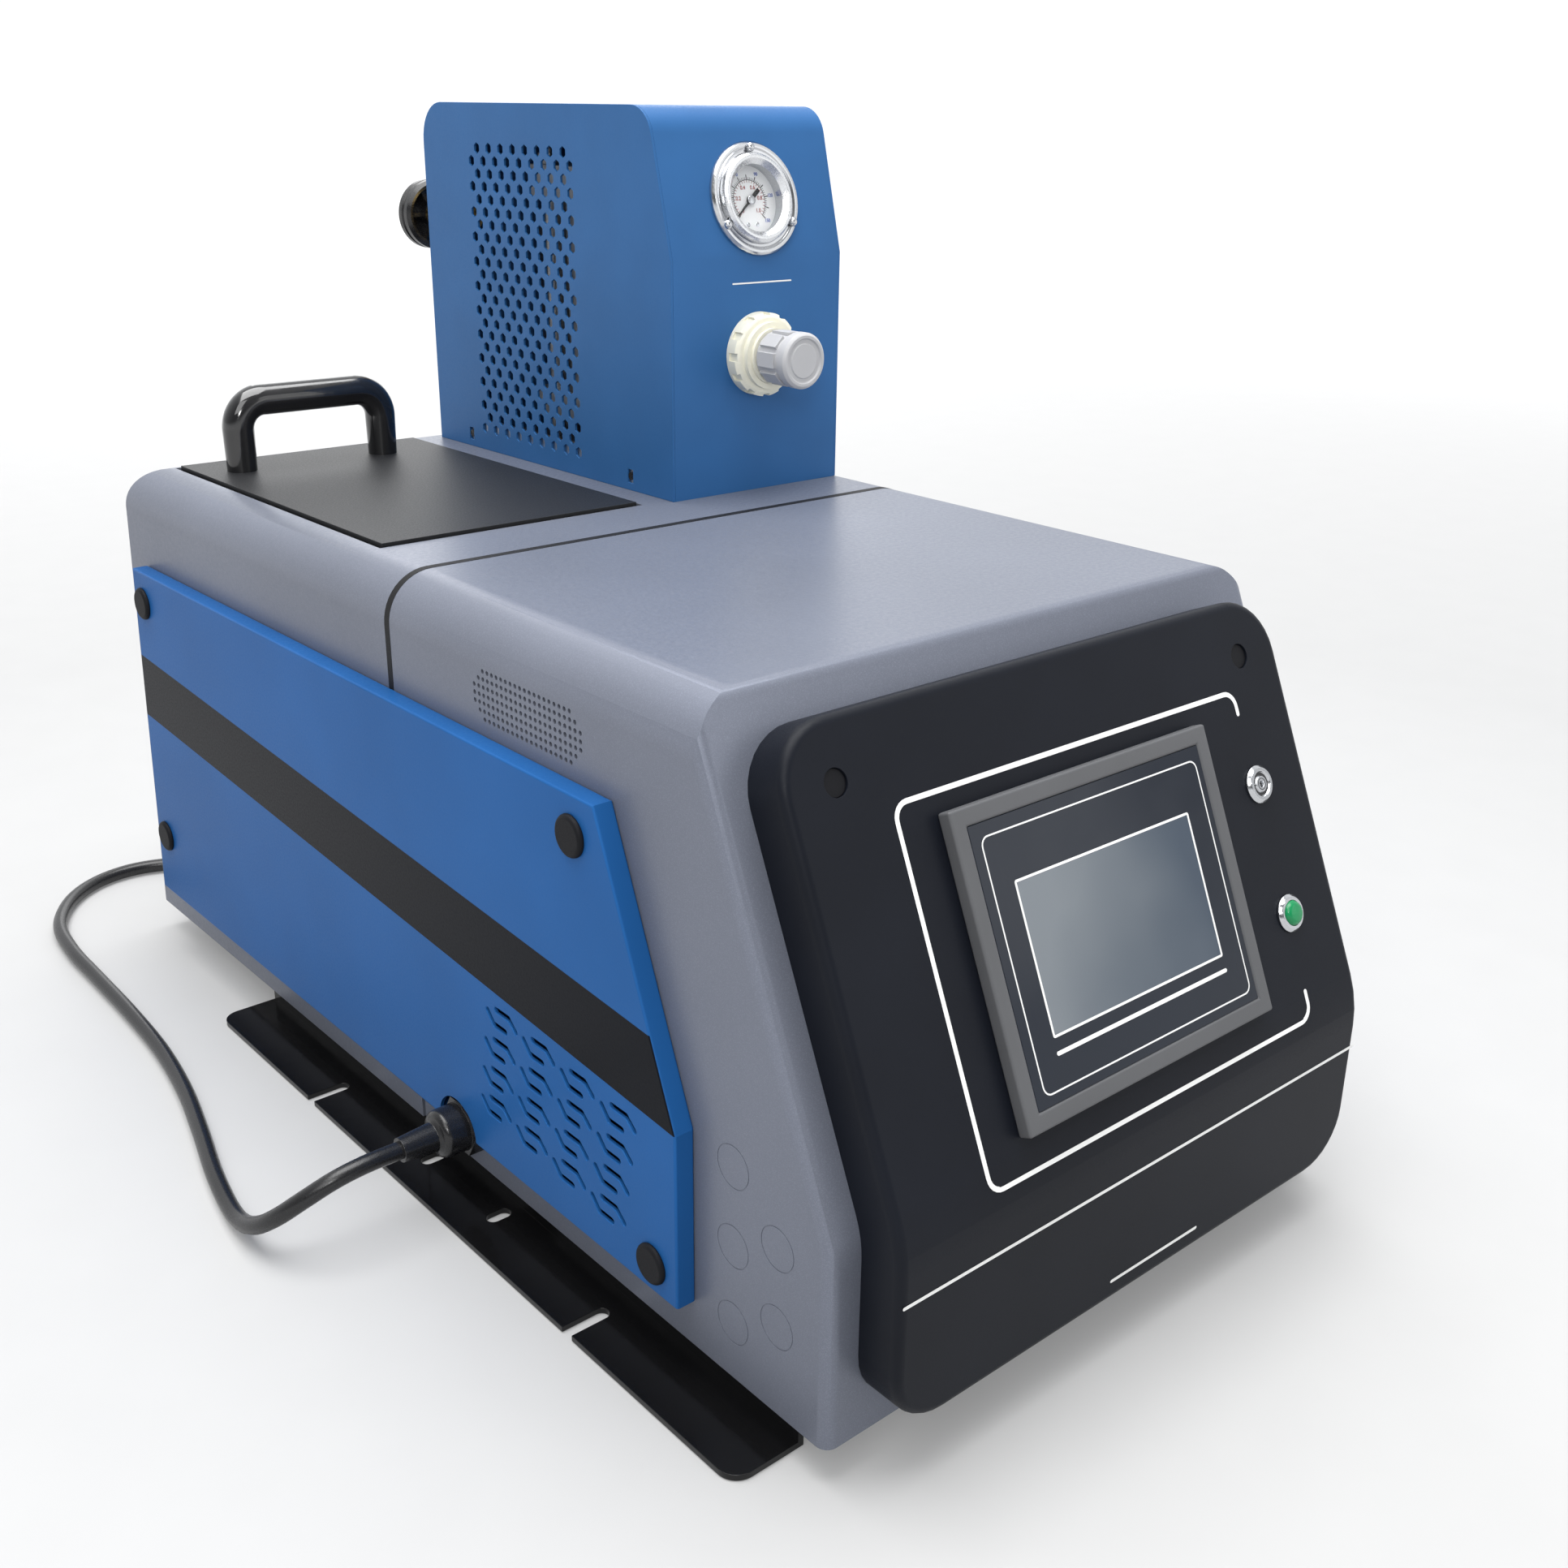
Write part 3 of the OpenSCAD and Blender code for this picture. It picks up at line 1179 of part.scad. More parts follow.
left_base_rail();
right_base_rail();
floor_pan();
front_housing();
rear_housing();
rear_wall();
seam_seal();
left_side_panel();
right_side_panel();
left_panel_caps();
right_panel_caps();
front_panel();
front_panel_caps();
screen_bezel();
screen_glass();
screen_case();
buzzer();
power_lamp_bezel();
power_lamp_lens();
signal_nuts();
tank_lid();
lid_handle();
handle_screws();
hinge_brackets();
hinge_pins();
glue_tank();
tank_feet();
tank_heaters();
manifold_block();
filter_plug();
hose_nipples();
hose_sockets();
pump_barrel();
pump_rod();
cylinder_tube();
cylinder_caps();
tie_rods();
solenoid_valve();
tower_shell();
tower_left_side();
tower_right_side();
tower_brackets();
tower_screws();
regulator_body();
regulator_nut();
regulator_spindle();
regulator_knob();
gauge_case();
gauge_ring();
gauge_dial();
gauge_needle();
gauge_glass();
gauge_screws();
air_valve();
valve_wheel();
electrics();
cable_gland();
cord_lead();
cord_coil();
power_plug();
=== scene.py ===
import json
import math

import bmesh
import bpy
import numpy as np
from mathutils import Matrix, Vector


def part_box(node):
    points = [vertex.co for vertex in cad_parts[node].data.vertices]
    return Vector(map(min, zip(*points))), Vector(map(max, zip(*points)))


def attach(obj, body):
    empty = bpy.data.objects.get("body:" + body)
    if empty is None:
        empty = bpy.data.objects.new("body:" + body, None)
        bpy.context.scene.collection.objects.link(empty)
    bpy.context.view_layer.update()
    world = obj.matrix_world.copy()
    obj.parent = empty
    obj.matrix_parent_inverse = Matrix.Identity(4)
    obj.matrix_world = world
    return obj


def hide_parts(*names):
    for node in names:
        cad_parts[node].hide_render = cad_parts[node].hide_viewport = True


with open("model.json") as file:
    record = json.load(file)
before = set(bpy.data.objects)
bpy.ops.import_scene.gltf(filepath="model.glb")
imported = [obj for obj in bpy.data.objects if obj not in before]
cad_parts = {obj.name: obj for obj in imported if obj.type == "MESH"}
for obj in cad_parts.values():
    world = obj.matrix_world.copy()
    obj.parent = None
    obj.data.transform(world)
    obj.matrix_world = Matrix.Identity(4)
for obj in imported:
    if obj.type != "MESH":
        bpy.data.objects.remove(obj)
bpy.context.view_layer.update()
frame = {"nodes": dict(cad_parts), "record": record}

# Looks of a bench hot melt glue unit, in metres in the part's own frame: +Z up, the operator panel
# towards -Y, origin on the floor at the centre of the base slots. CAD pieces that show get a merged
# copy with softened edges; printed lines, the dial's scale, the screen picture and the cord are
# surfaces of their own.

MM = 0.001

# Sizes and places taken over from the part's own source
PANEL_TILT = math.radians(23.584)
PANEL_BEND = np.array([0.0, -288.5, 117.49]) * MM
TOWER_TILT = math.radians(14.036)
GAUGE_CENTRE = np.array([92.0, 95.776, 466.104]) * MM
PANEL_BEND_R = 66.5 * MM
BUZZER_AT = (116.0 * MM, 116.0 * MM)
HALF_W, TOP_Z, TOP_R, SEAM_Y = 170.0 * MM, 310.0 * MM, 24.0 * MM, 47.0 * MM
TOWER_Y = 88.5 * MM
BEZEL_PROUD = 7.0 * MM
GLASS_DROP = 0.5 * MM

# Heights of the dial's face and of the needle's hub above the middle of the gauge
DIAL_TOP = -4.0 * MM
HUB_TOP = -2.0 * MM

# Height of printed lines above their face, and their thickness
PRINT_LIFT = 0.06 * MM
PRINT_T = 0.05 * MM

X_AXIS = np.array([1.0, 0.0, 0.0])


class Face:
    """A flat face: a point on it, its across and up directions, and the way out of it."""

    def __init__(self, origin, across, up):
        self.origin, self.across, self.up = (np.asarray(v, float) for v in (origin, across, up))
        self.out = np.cross(self.across, self.up)

    def at(self, uv, lift=0.0):
        """Points of the face from rows of (across, up), raised by lift, a number or a column."""
        uv = np.atleast_2d(uv)
        return self.origin + uv[:, :1] * self.across + uv[:, 1:2] * self.up + lift * self.out


def leaning(origin, tilt):
    """A face across the unit that leans back from the upright by tilt."""
    return Face(origin, X_AXIS, [0.0, math.sin(tilt), math.cos(tilt)])


PANEL_FACE = leaning(PANEL_BEND, PANEL_TILT)
PANEL_FOOT = leaning(PANEL_BEND, 0.0)
GLASS_FACE = leaning(PANEL_BEND + (BEZEL_PROUD - GLASS_DROP) * PANEL_FACE.out, PANEL_TILT)
DIAL_FACE = leaning(GAUGE_CENTRE, TOWER_TILT)
TOWER_FACE = leaning([0.0, TOWER_Y, 0.0], 0.0)


# Materials


def shader(name):
    """A new node material, its node tree and its surface node."""
    m = bpy.data.materials.new(name)
    m.use_nodes = True
    tree = m.node_tree
    return m, tree, tree.nodes["Principled BSDF"]


def place(tree):
    """The piece's own coordinates, in metres of the part's frame."""
    return tree.nodes.new("ShaderNodeTexCoord").outputs["Object"]


def noise(tree, where, size, detail=2.0, rough=0.5):
    """Soft noise whose grains are about size metres across."""
    n = tree.nodes.new("ShaderNodeTexNoise")
    n.inputs["Scale"].default_value = 1.0 / size
    n.inputs["Detail"].default_value = detail
    n.inputs["Roughness"].default_value = rough
    tree.links.new(where, n.inputs["Vector"])
    return n.outputs["Fac"]


def spread(tree, value, lo, hi, start=0.3, end=0.7):
    """A number that runs from lo to hi while value runs from start to end."""
    r = tree.nodes.new("ShaderNodeMapRange")
    for key, v in (("From Min", start), ("From Max", end), ("To Min", lo), ("To Max", hi)):
        r.inputs[key].default_value = v
    tree.links.new(value, r.inputs["Value"])
    return r.outputs["Result"]


def between(tree, amount, a, b):
    """A colour between a and b; each is a colour or a node's output."""
    mix = tree.nodes.new("ShaderNodeMix")
    mix.data_type = "RGBA"
    tree.links.new(amount, mix.inputs["Factor"])
    for socket, c in ((mix.inputs["A"], a), (mix.inputs["B"], b)):
        if isinstance(c, bpy.types.NodeSocket):
            tree.links.new(c, socket)
        else:
            socket.default_value = (*c, 1.0)
    return mix.outputs["Result"]


def sums(tree, kind, a, b):
    """One step of arithmetic on two inputs, each a number or a node's output."""
    n = tree.nodes.new("ShaderNodeMath")
    n.operation = kind
    for socket, v in zip(n.inputs, (a, b)):
        if isinstance(v, bpy.types.NodeSocket):
            tree.links.new(v, socket)
        else:
            socket.default_value = v
    return n.outputs[0]


def grain(tree, bsdf, height, depth):
    """Relief of the given depth in metres from a height between 0 and 1."""
    bump = tree.nodes.new("ShaderNodeBump")
    bump.inputs["Distance"].default_value = depth
    tree.links.new(height, bump.inputs["Height"])
    tree.links.new(bump.outputs["Normal"], bsdf.inputs["Normal"])


def shade(colour, factor):
    """A colour made lighter or darker by a factor."""
    return tuple(min(1.0, c * factor) for c in colour)


def coating(name, colour, roughness, *, metallic=0.0, coat=0.0, coat_rough=0.1, specular=0.5,
            mottle=0.06, patch=0.05, grain_size=0.0006, grain_depth=0.00002, rough_spread=0.06):
    """Paint or moulded plastic: a colour that drifts a little, with a fine grain in its relief."""
    m, tree, bsdf = shader(name)
    where = place(tree)
    drift = spread(tree, noise(tree, where, patch, 3.0), 0.0, 1.0)
    tree.links.new(between(tree, drift, shade(colour, 1 - mottle), shade(colour, 1 + mottle)),
                   bsdf.inputs["Base Color"])
    fine = noise(tree, where, grain_size, 3.0)
    tree.links.new(spread(tree, fine, roughness - rough_spread, roughness + rough_spread),
                   bsdf.inputs["Roughness"])
    grain(tree, bsdf, fine, grain_depth)
    bsdf.inputs["Metallic"].default_value = metallic
    bsdf.inputs["Coat Weight"].default_value = coat
    bsdf.inputs["Coat Roughness"].default_value = coat_rough
    bsdf.inputs["Specular IOR Level"].default_value = specular
    return m


def flake_paint(name, colour, flake, roughness):
    """Metallic paint: small bright flakes in a satin gray ground."""
    m, tree, bsdf = shader(name)
    where = place(tree)
    cells = tree.nodes.new("ShaderNodeTexVoronoi")
    cells.inputs["Scale"].default_value = 1.0 / FLAKE_SIZE
    tree.links.new(where, cells.inputs["Vector"])
    glint = tree.nodes.new("ShaderNodeSeparateColor")
    tree.links.new(cells.outputs["Color"], glint.inputs["Color"])
    drift = spread(tree, noise(tree, where, 0.12, 2.0), 0.0, 1.0)
    ground = between(tree, drift, shade(colour, 0.95), shade(colour, 1.05))
    amount = spread(tree, glint.outputs["Red"], 0.0, 0.22, 0.6, 1.0)
    tree.links.new(between(tree, amount, ground, flake), bsdf.inputs["Base Color"])
    peel = noise(tree, where, 0.0022, 2.0)
    tree.links.new(spread(tree, peel, roughness - 0.05, roughness + 0.05), bsdf.inputs["Roughness"])
    grain(tree, bsdf, peel, 0.00001)
    bsdf.inputs["Metallic"].default_value = 0.3
    bsdf.inputs["Specular IOR Level"].default_value = 0.2
    return m


def metal(name, colour, roughness, stretch=(1.0, 1.0, 1.0), scratch=0.0008, depth=0.000004):
    """Bare metal with fine tool marks, drawn out along the axes with a small stretch."""
    m, tree, bsdf = shader(name)
    mapping = tree.nodes.new("ShaderNodeMapping")
    mapping.inputs["Scale"].default_value = stretch
    tree.links.new(place(tree), mapping.inputs["Vector"])
    marks = noise(tree, mapping.outputs["Vector"], scratch, 4.0)
    tree.links.new(between(tree, marks, shade(colour, 0.9), shade(colour, 1.06)), bsdf.inputs["Base Color"])
    tree.links.new(spread(tree, marks, max(0.02, roughness - 0.06), roughness + 0.08),
                   bsdf.inputs["Roughness"])
    grain(tree, bsdf, marks, depth)
    bsdf.inputs["Metallic"].default_value = 1.0
    return m


def striped_tray(name, paint, band, low, high):
    """Blue tray paint with one dark band between two sloping lines in the side view.

    A line's height at a place y is its height at y = 0 plus its rise times y.
    """
    m, tree, bsdf = shader(name)
    where = place(tree)
    split = tree.nodes.new("ShaderNodeSeparateXYZ")
    tree.links.new(where, split.inputs["Vector"])
    y, z = split.outputs["Y"], split.outputs["Z"]
    above = [sums(tree, "GREATER_THAN", sums(tree, "SUBTRACT", z, sums(tree, "MULTIPLY", y, rise)), z0)
             for z0, rise in (low, high)]
    outside = sums(tree, "GREATER_THAN", sums(tree, "ABSOLUTE", split.outputs["X"], 0.0), TRAY_FACE)
    inside_band = sums(tree, "MULTIPLY", sums(tree, "SUBTRACT", above[0], above[1]), outside)
    drift = spread(tree, noise(tree, where, 0.08, 2.0), 0.0, 1.0)
    ground = between(tree, drift, shade(paint, 0.94), shade(paint, 1.06))
    tree.links.new(between(tree, inside_band, ground, band), bsdf.inputs["Base Color"])
    peel = noise(tree, where, 0.0012, 2.0)
    tree.links.new(spread(tree, peel, 0.30, 0.42), bsdf.inputs["Roughness"])
    grain(tree, bsdf, peel, 0.00002)
    bsdf.inputs["Metallic"].default_value = 0.1
    bsdf.inputs["Specular IOR Level"].default_value = 0.07
    return m


def clear(name, colour, roughness, ior=1.45):
    """Clear glass or tinted lens with a faint ripple."""
    m, tree, bsdf = shader(name)
    ripple = noise(tree, place(tree), 0.01, 1.0)
    tree.links.new(between(tree, ripple, shade(colour, 0.97), colour), bsdf.inputs["Base Color"])
    bsdf.inputs["Roughness"].default_value = roughness
    bsdf.inputs["Transmission Weight"].default_value = 1.0
    bsdf.inputs["IOR"].default_value = ior
    return m


def screen_glare_finish(name, low, high, face, u0, u1):
    """A dim screen with a painted glare: its gray runs from high at its left edge u0 to low at its right edge
    u1.
    """
    m, tree, bsdf = shader(name)
    where = place(tree)
    along = tree.nodes.new("ShaderNodeVectorMath")
    along.operation = "DOT_PRODUCT"
    tree.links.new(where, along.inputs[0])
    along.inputs[1].default_value = -face.across
    start = -float(face.origin @ face.across)
    # Painted glare: the gray grows lighter towards the screen's left edge
    glare_fade = spread(tree, along.outputs["Value"], 0.0, 1.0, start - u1, start - u0)
    cloud = spread(tree, noise(tree, where, 0.06, 1.5), -0.18, 0.18)
    tree.links.new(between(tree, sums(tree, "ADD", glare_fade, cloud), low, high), bsdf.inputs["Base Color"])
    bsdf.inputs["Roughness"].default_value = 0.25
    bsdf.inputs["Specular IOR Level"].default_value = 0.25
    return m


FLAKE_SIZE = 0.0003

# How far out a tray's face begins, so that the band stays off its sides
TRAY_FACE = 0.1796

TOWER_BLUE = (0.026, 0.112, 0.290)
TRAY_BLUE = (0.016, 0.100, 0.305)
GREY = (0.158, 0.172, 0.214)
# The dim screen's own gray, and the lighter gray of the glare painted at its left edge
SCREEN_LOW, SCREEN_GLARE_HIGH = (0.050, 0.068, 0.095), (0.17, 0.19, 0.21)

# The band's lower and upper edge: height at y = 0 and rise per metre of depth
BAND_LOW = (0.1391, 0.0660)
BAND_HIGH = (0.1778, 0.0671)

FINISHES = {
    "base_black": coating("gloss_black_base", (0.006, 0.006, 0.0065), 0.14, specular=0.3,
                          grain_size=0.006, grain_depth=0.00006, patch=0.03),
    "deck_steel": metal("zinc_plate", (0.55, 0.56, 0.58), 0.32),
    "grey_paint": flake_paint("silver_grey_paint", GREY, (0.32, 0.34, 0.40), 0.36),
    "seal_rubber": coating("seal_rubber", (0.006, 0.006, 0.007), 0.6, specular=0.25),
    "blue_paint": coating("satin_blue_paint", TOWER_BLUE, 0.42, metallic=0.1, specular=0.2,
                          grain_size=0.0012),
    "cap_plastic": coating("cap_plastic", (0.006, 0.0062, 0.008), 0.55, grain_size=0.0004, specular=0.15),
    "panel_black": coating("satin_black_panel", (0.0066, 0.0080, 0.0125), 0.44, grain_size=0.0005,
                           grain_depth=0.00002, mottle=0.1, specular=0.13),
    "bezel_grey": coating("bezel_plastic", (0.095, 0.097, 0.103), 0.5, grain_size=0.0004, specular=0.3),
    "screen_glass": coating("screen_film", (0.010, 0.014, 0.023), 0.14, specular=0.3, grain_size=0.02,
                            grain_depth=0.00001, rough_spread=0.03),
    "bright_steel": metal("polished_steel", (0.58, 0.59, 0.61), 0.14),
    "green_lens": coating("green_lens", (0.006, 0.22, 0.075), 0.2, specular=0.4, grain_size=0.0012,
                          grain_depth=0.0001),
    "lid_black": coating("textured_black_lid", (0.010, 0.0105, 0.012), 0.5, grain_size=0.0009,
                         grain_depth=0.00005, specular=0.35),
    "handle_plastic": coating("gloss_handle", (0.010, 0.010, 0.011), 0.15, coat=0.7, coat_rough=0.05,
                              grain_size=0.006, grain_depth=0.00006),
    "cast_aluminium": metal("cast_aluminium", (0.62, 0.63, 0.65), 0.38, scratch=0.002),
    "ceramic_cream": coating("cream_ceramic", (0.60, 0.54, 0.44), 0.6),
    "brass": metal("brass", (0.72, 0.52, 0.22), 0.26),
    "machined_steel": metal("machined_steel", (0.62, 0.63, 0.65), 0.25, stretch=(1.0, 1.0, 6.0)),
    "black_plastic": coating("black_plastic", (0.010, 0.010, 0.011), 0.26, grain_size=0.0005),
    "cream_plastic": coating("cream_plastic", (0.76, 0.74, 0.62), 0.42, grain_size=0.0008),
    "knob_grey": coating("knob_plastic", (0.46, 0.46, 0.47), 0.45, grain_size=0.0005),
    "gauge_glass": clear("gauge_glass", (0.99, 0.995, 1.0), 0.0, ior=1.12),
    "electrics_grey": coating("electrics_plastic", (0.42, 0.43, 0.42), 0.5),
    "cord_rubber": coating("cord_rubber", (0.010, 0.010, 0.011), 0.3, grain_size=0.0008),
}
TRAY_FINISH = striped_tray("striped_blue_tray", TRAY_BLUE, (0.0035, 0.0045, 0.0075), BAND_LOW, BAND_HIGH)
PRINT_WHITE = coating("white_print", (0.80, 0.80, 0.79), 0.5)
# Black for the dial's print, and for the shade painted on the buzzer
BLACK_PRINT_AND_SHADE = coating("black_print_and_shade", (0.02, 0.02, 0.022), 0.5)
PRINT_BLUE = coating("blue_print", (0.03, 0.10, 0.45), 0.5)
PRINT_RED = coating("red_print", (0.30, 0.03, 0.025), 0.5)
DIAL_WHITE = coating("dial_white", (0.95, 0.96, 0.97), 0.5)
RING_SILVER = metal("silver_ring", (0.74, 0.75, 0.77), 0.24)
OWN_FINISH = {"gauge_ring": RING_SILVER, "gauge_dial": DIAL_WHITE}


# CAD pieces


SLOT_OF = {s["node"]: s["material_slot"] for s in frame["record"]["subparts"]}
BODY_OF = {n: b for b, ns in frame["record"]["behaviour"]["bodies"].items() for n in ns}

# Edges sharper than these are kept sharp in the shading, or rounded; faces flatter than this are joined
SMOOTH_ANGLE = math.radians(35.0)
EDGE_ANGLE = math.radians(40.0)
FLAT_ANGLE = math.radians(0.3)
MERGE = 2e-6


def dress(node, edge, finish=None, field=None, field_edge=0.0, swell=0.0, steps=2, shortest=0.0):
    """A merged copy of a CAD node with its sharp edges rounded to the radius edge.

    field is a box (low, high) of small holes, whose edges get the smaller radius field_edge. swell
    moves the surface out along its own normals, but not below the node's foot. Where shortest is
    given, only longer edges outside the field are rounded, and all get their full radius.
    """
    mesh = bpy.data.meshes.new(node + "_skin")
    bm = bmesh.new()
    bm.from_mesh(frame["nodes"][node].data)
    bmesh.ops.remove_doubles(bm, verts=bm.verts, dist=MERGE)
    bmesh.ops.dissolve_limit(bm, angle_limit=FLAT_ANGLE, verts=bm.verts, edges=bm.edges)

    bm.normal_update()
    if swell:
        foot = min(v.co.z for v in bm.verts)
        for v in bm.verts:
            v.co += swell * v.normal
            v.co.z = max(v.co.z, foot)

    def in_field(e):
        """Whether an edge's middle lies in the box of small holes."""
        middle = (e.verts[0].co + e.verts[1].co) / 2
        return field is not None and all(a <= c <= b for a, c, b in zip(field[0], middle, field[1]))

    for radius, wanted in ((edge, False), (field_edge, True)):
        sharp = [e for e in bm.edges if len(e.link_faces) == 2 and e.calc_face_angle(0.0) > EDGE_ANGLE
                 and in_field(e) == wanted and (wanted or e.calc_length() > shortest)]
        if radius and sharp:
            bmesh.ops.bevel(bm, geom=sharp, offset=radius, offset_type="OFFSET", segments=steps, profile=0.5,
                            affect="EDGES", clamp_overlap=not shortest)
    bm.to_mesh(mesh)
    bm.free()
    return finish_piece(node + "_skin", mesh, finish or FINISHES[SLOT_OF[node]], BODY_OF[node],
                        replaces=node)


def finish_piece(name, mesh, material, body, replaces=None):
    """Shades a mesh smoothly between its sharp edges and puts it on its body."""
    mesh.shade_smooth()
    mesh.set_sharp_from_angle(angle=SMOOTH_ANGLE)
    mesh.materials.clear()
    mesh.materials.append(material)
    piece = bpy.data.objects.new(name, mesh)
    bpy.context.scene.collection.objects.link(piece)
    weigh = piece.modifiers.new("even_flats", "WEIGHTED_NORMAL")
    weigh.keep_sharp = True
    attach(piece, body)
    if replaces:
        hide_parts(replaces)
    return piece


def across(node, low, high):
    """A box over a node's full width from two (y, z) corners."""
    a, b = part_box(node)
    return (a.x - 1, low[0], low[1]), (b.x + 1, high[0], high[1])


# Boxes of small holes, from two (y, z) corners each
SIDE_GRILLE = (-0.12, 0.255), (-0.02, 0.295)
TRAY_VENTS = (-0.165, 0.03), (-0.015, 0.135)
TOWER_HOLES = (0.17, 0.315), (0.30, 0.495)

# Edge radii
HOUSING_EDGE = 0.8 * MM
TRAY_EDGE, VENT_EDGE, TRAY_SHORTEST = 1.2 * MM, 0.5 * MM, 30 * MM
PLATE_EDGE, HOLE_EDGE = 0.25 * MM, 0.2 * MM

# How much thicker the lid's handle is all round
HANDLE_SWELL = 1.5 * MM

# Edge radii of the other pieces, in millimetres
ROUNDED = {
    "left_base_rail": 0.6, "right_base_rail": 0.6, "rear_wall": 0.5, "left_panel_caps": 0.4,
    "right_panel_caps": 0.4, "front_panel": 0.4, "front_panel_caps": 0.4, "screen_bezel": 1.2,
    "screen_glass": 0.2, "buzzer": 0.15,
    "power_lamp_bezel": 0.2, "power_lamp_lens": 0.1, "tank_lid": 0.7, "hose_nipples": 0.4,
    "hose_sockets": 0.3, "tower_shell": 0.25, "regulator_nut": 0.5, "regulator_knob": 0.4, "gauge_case": 0.25,
    "gauge_ring": 0.3, "gauge_screws": 0.2, "air_valve": 0.4, "valve_wheel": 0.5, "cable_gland": 0.4,
    "power_plug": 0.5, "cylinder_tube": 0.4, "cylinder_caps": 0.8, "pump_rod": 0.4, "seam_seal": 0.3,
}


def dress_all():
    """Skins for the pieces that show, and finishes on the CAD pieces that stay."""
    dress("front_housing", HOUSING_EDGE, field=across("front_housing", *SIDE_GRILLE))
    dress("rear_housing", HOUSING_EDGE)
    dress("lid_handle", 0.0, swell=HANDLE_SWELL)
    for side in ("left", "right"):
        tray = side + "_side_panel"
        dress(tray, TRAY_EDGE, finish=TRAY_FINISH, field=across(tray, *TRAY_VENTS), field_edge=VENT_EDGE,
              steps=3, shortest=TRAY_SHORTEST)
        plate = f"tower_{side}_side"
        dress(plate, PLATE_EDGE, field=across(plate, *TOWER_HOLES), field_edge=HOLE_EDGE)
    for node, edge in ROUNDED.items():
        dress(node, edge * MM, finish=OWN_FINISH.get(node))
    for node, piece in frame["nodes"].items():
        piece.data.materials.clear()
        piece.data.materials.append(OWN_FINISH.get(node) or FINISHES[SLOT_OF[node]])


# Surfaces


def grid_piece(name, points, material, body, around=False, closed=False, caps=False):
    """A surface through an (n, m, 3) array of points.

    around joins the last column to the first, closed the last row to the first, and caps shuts
    the two end rows with a face each.
    """
    n, m = points.shape[:2]
    rows = np.arange(n if closed else n - 1)
    cols = np.arange(m if around else m - 1)
    i, j = (a.ravel() for a in np.meshgrid(rows, cols, indexing="ij"))
    i2, j2 = (i + 1) % n, (j + 1) % m
    faces = np.stack([i * m + j, i * m + j2, i2 * m + j2, i2 * m + j], 1).tolist()
    if caps:
        faces += [list(range(m))[::-1], list(range((n - 1) * m, n * m))]
    mesh = bpy.data.meshes.new(name)
    mesh.from_pydata(points.reshape(-1, 3), [], faces)
    outward(mesh)
    return finish_piece(name, mesh, material, body)


def outward(mesh):
    """Turns every face of a closed mesh outwards."""
    bm = bmesh.new()
    bm.from_mesh(mesh)
    bmesh.ops.recalc_face_normals(bm, faces=bm.faces)
    bm.to_mesh(mesh)
    bm.free()


def ribbon(name, face, path, width, material, closed=False, lift=PRINT_LIFT):
    """A flat line of print, or a ring of painted shade: a thin rectangle carried along a path on a face.

    The rectangle's side direction is square to the mean of the steps before and after a point,
    stretched at a corner so that the line keeps its width. An open line ends in half circles: the
    path runs on by the sine of an angle while the half width falls with its cosine.
    """
    path = np.asarray(path, float)
    half = np.full(len(path), width / 2)
    if not closed:
        a = np.radians([30.0, 55.0, 80.0])[:, None]
        ends = [p + width / 2 * np.sin(a) * (p - q) / np.linalg.norm(p - q)
                for p, q in ((path[0], path[1]), (path[-1], path[-2]))]
        path = np.vstack([ends[0][::-1], path, ends[1]])
        fall = width / 2 * np.cos(a[:, 0])
        half = np.concatenate([fall[::-1], half, fall])
    step = np.diff(np.vstack([path, path[:1]]) if closed else path, axis=0)
    step /= np.linalg.norm(step, axis=1, keepdims=True)
    before = np.roll(step, 1, axis=0) if closed else np.vstack([step[:1], step])
    after = step if closed else np.vstack([step, step[-1:]])
    normal = np.stack([-(before + after)[:, 1], (before + after)[:, 0]], 1)
    normal /= np.linalg.norm(normal, axis=1, keepdims=True)
    square = np.stack([-after[:, 1], after[:, 0]], 1)
    normal /= np.sum(normal * square, 1, keepdims=True)
    sides = [path + s * half[:, None] * normal for s in (-1, 1)]
    lift = lift - bend_sink(path[:, 1:]) if face is PANEL_FACE else lift
    shade_ring = [face.at(sides[0], lift), face.at(sides[1], lift),
            face.at(sides[1], lift + PRINT_T), face.at(sides[0], lift + PRINT_T)]
    return grid_piece(name, np.stack(shade_ring, 1), material, "machine", around=True, closed=closed,
                      caps=not closed)


def bend_sink(v):
    """How far the panel's bend lies below the sloping plane at a height above the bend line.

    The bend is an arc that meets the plane at a distance of its radius times the tangent of half
    the tilt; nearer than that it falls away as a circle does.
    """
    reach = PANEL_BEND_R * math.tan(PANEL_TILT / 2)
    return PANEL_BEND_R - np.sqrt(PANEL_BEND_R**2 - np.maximum(reach - v, 0.0)**2)


def corner(centre, r, start, end, count=7):
    """Points of an arc from one angle to another, in degrees."""
    a = np.radians(np.linspace(start, end, count))
    return np.asarray(centre) + r * np.stack([np.cos(a), np.sin(a)], 1)


def round_box(x0, x1, v0, v1, r):
    """A closed outline of a box with round corners, anticlockwise from its lower right corner."""
    return np.vstack([corner((x1 - r, v0 + r), r, -90, 0), corner((x1 - r, v1 - r), r, 0, 90),
                      corner((x0 + r, v1 - r), r, 90, 180), corner((x0 + r, v0 + r), r, 180, 270)])


# Widths of the printed lines
FRAME_LINE_W, FOOT_RULE_W, TOWER_RULE_W = 2.2 * MM, 1.6 * MM, 0.8 * MM
FRAMING_W, OUTLINE_W, SCREEN_RULE_W = 0.7 * MM, 1.1 * MM, 1.8 * MM


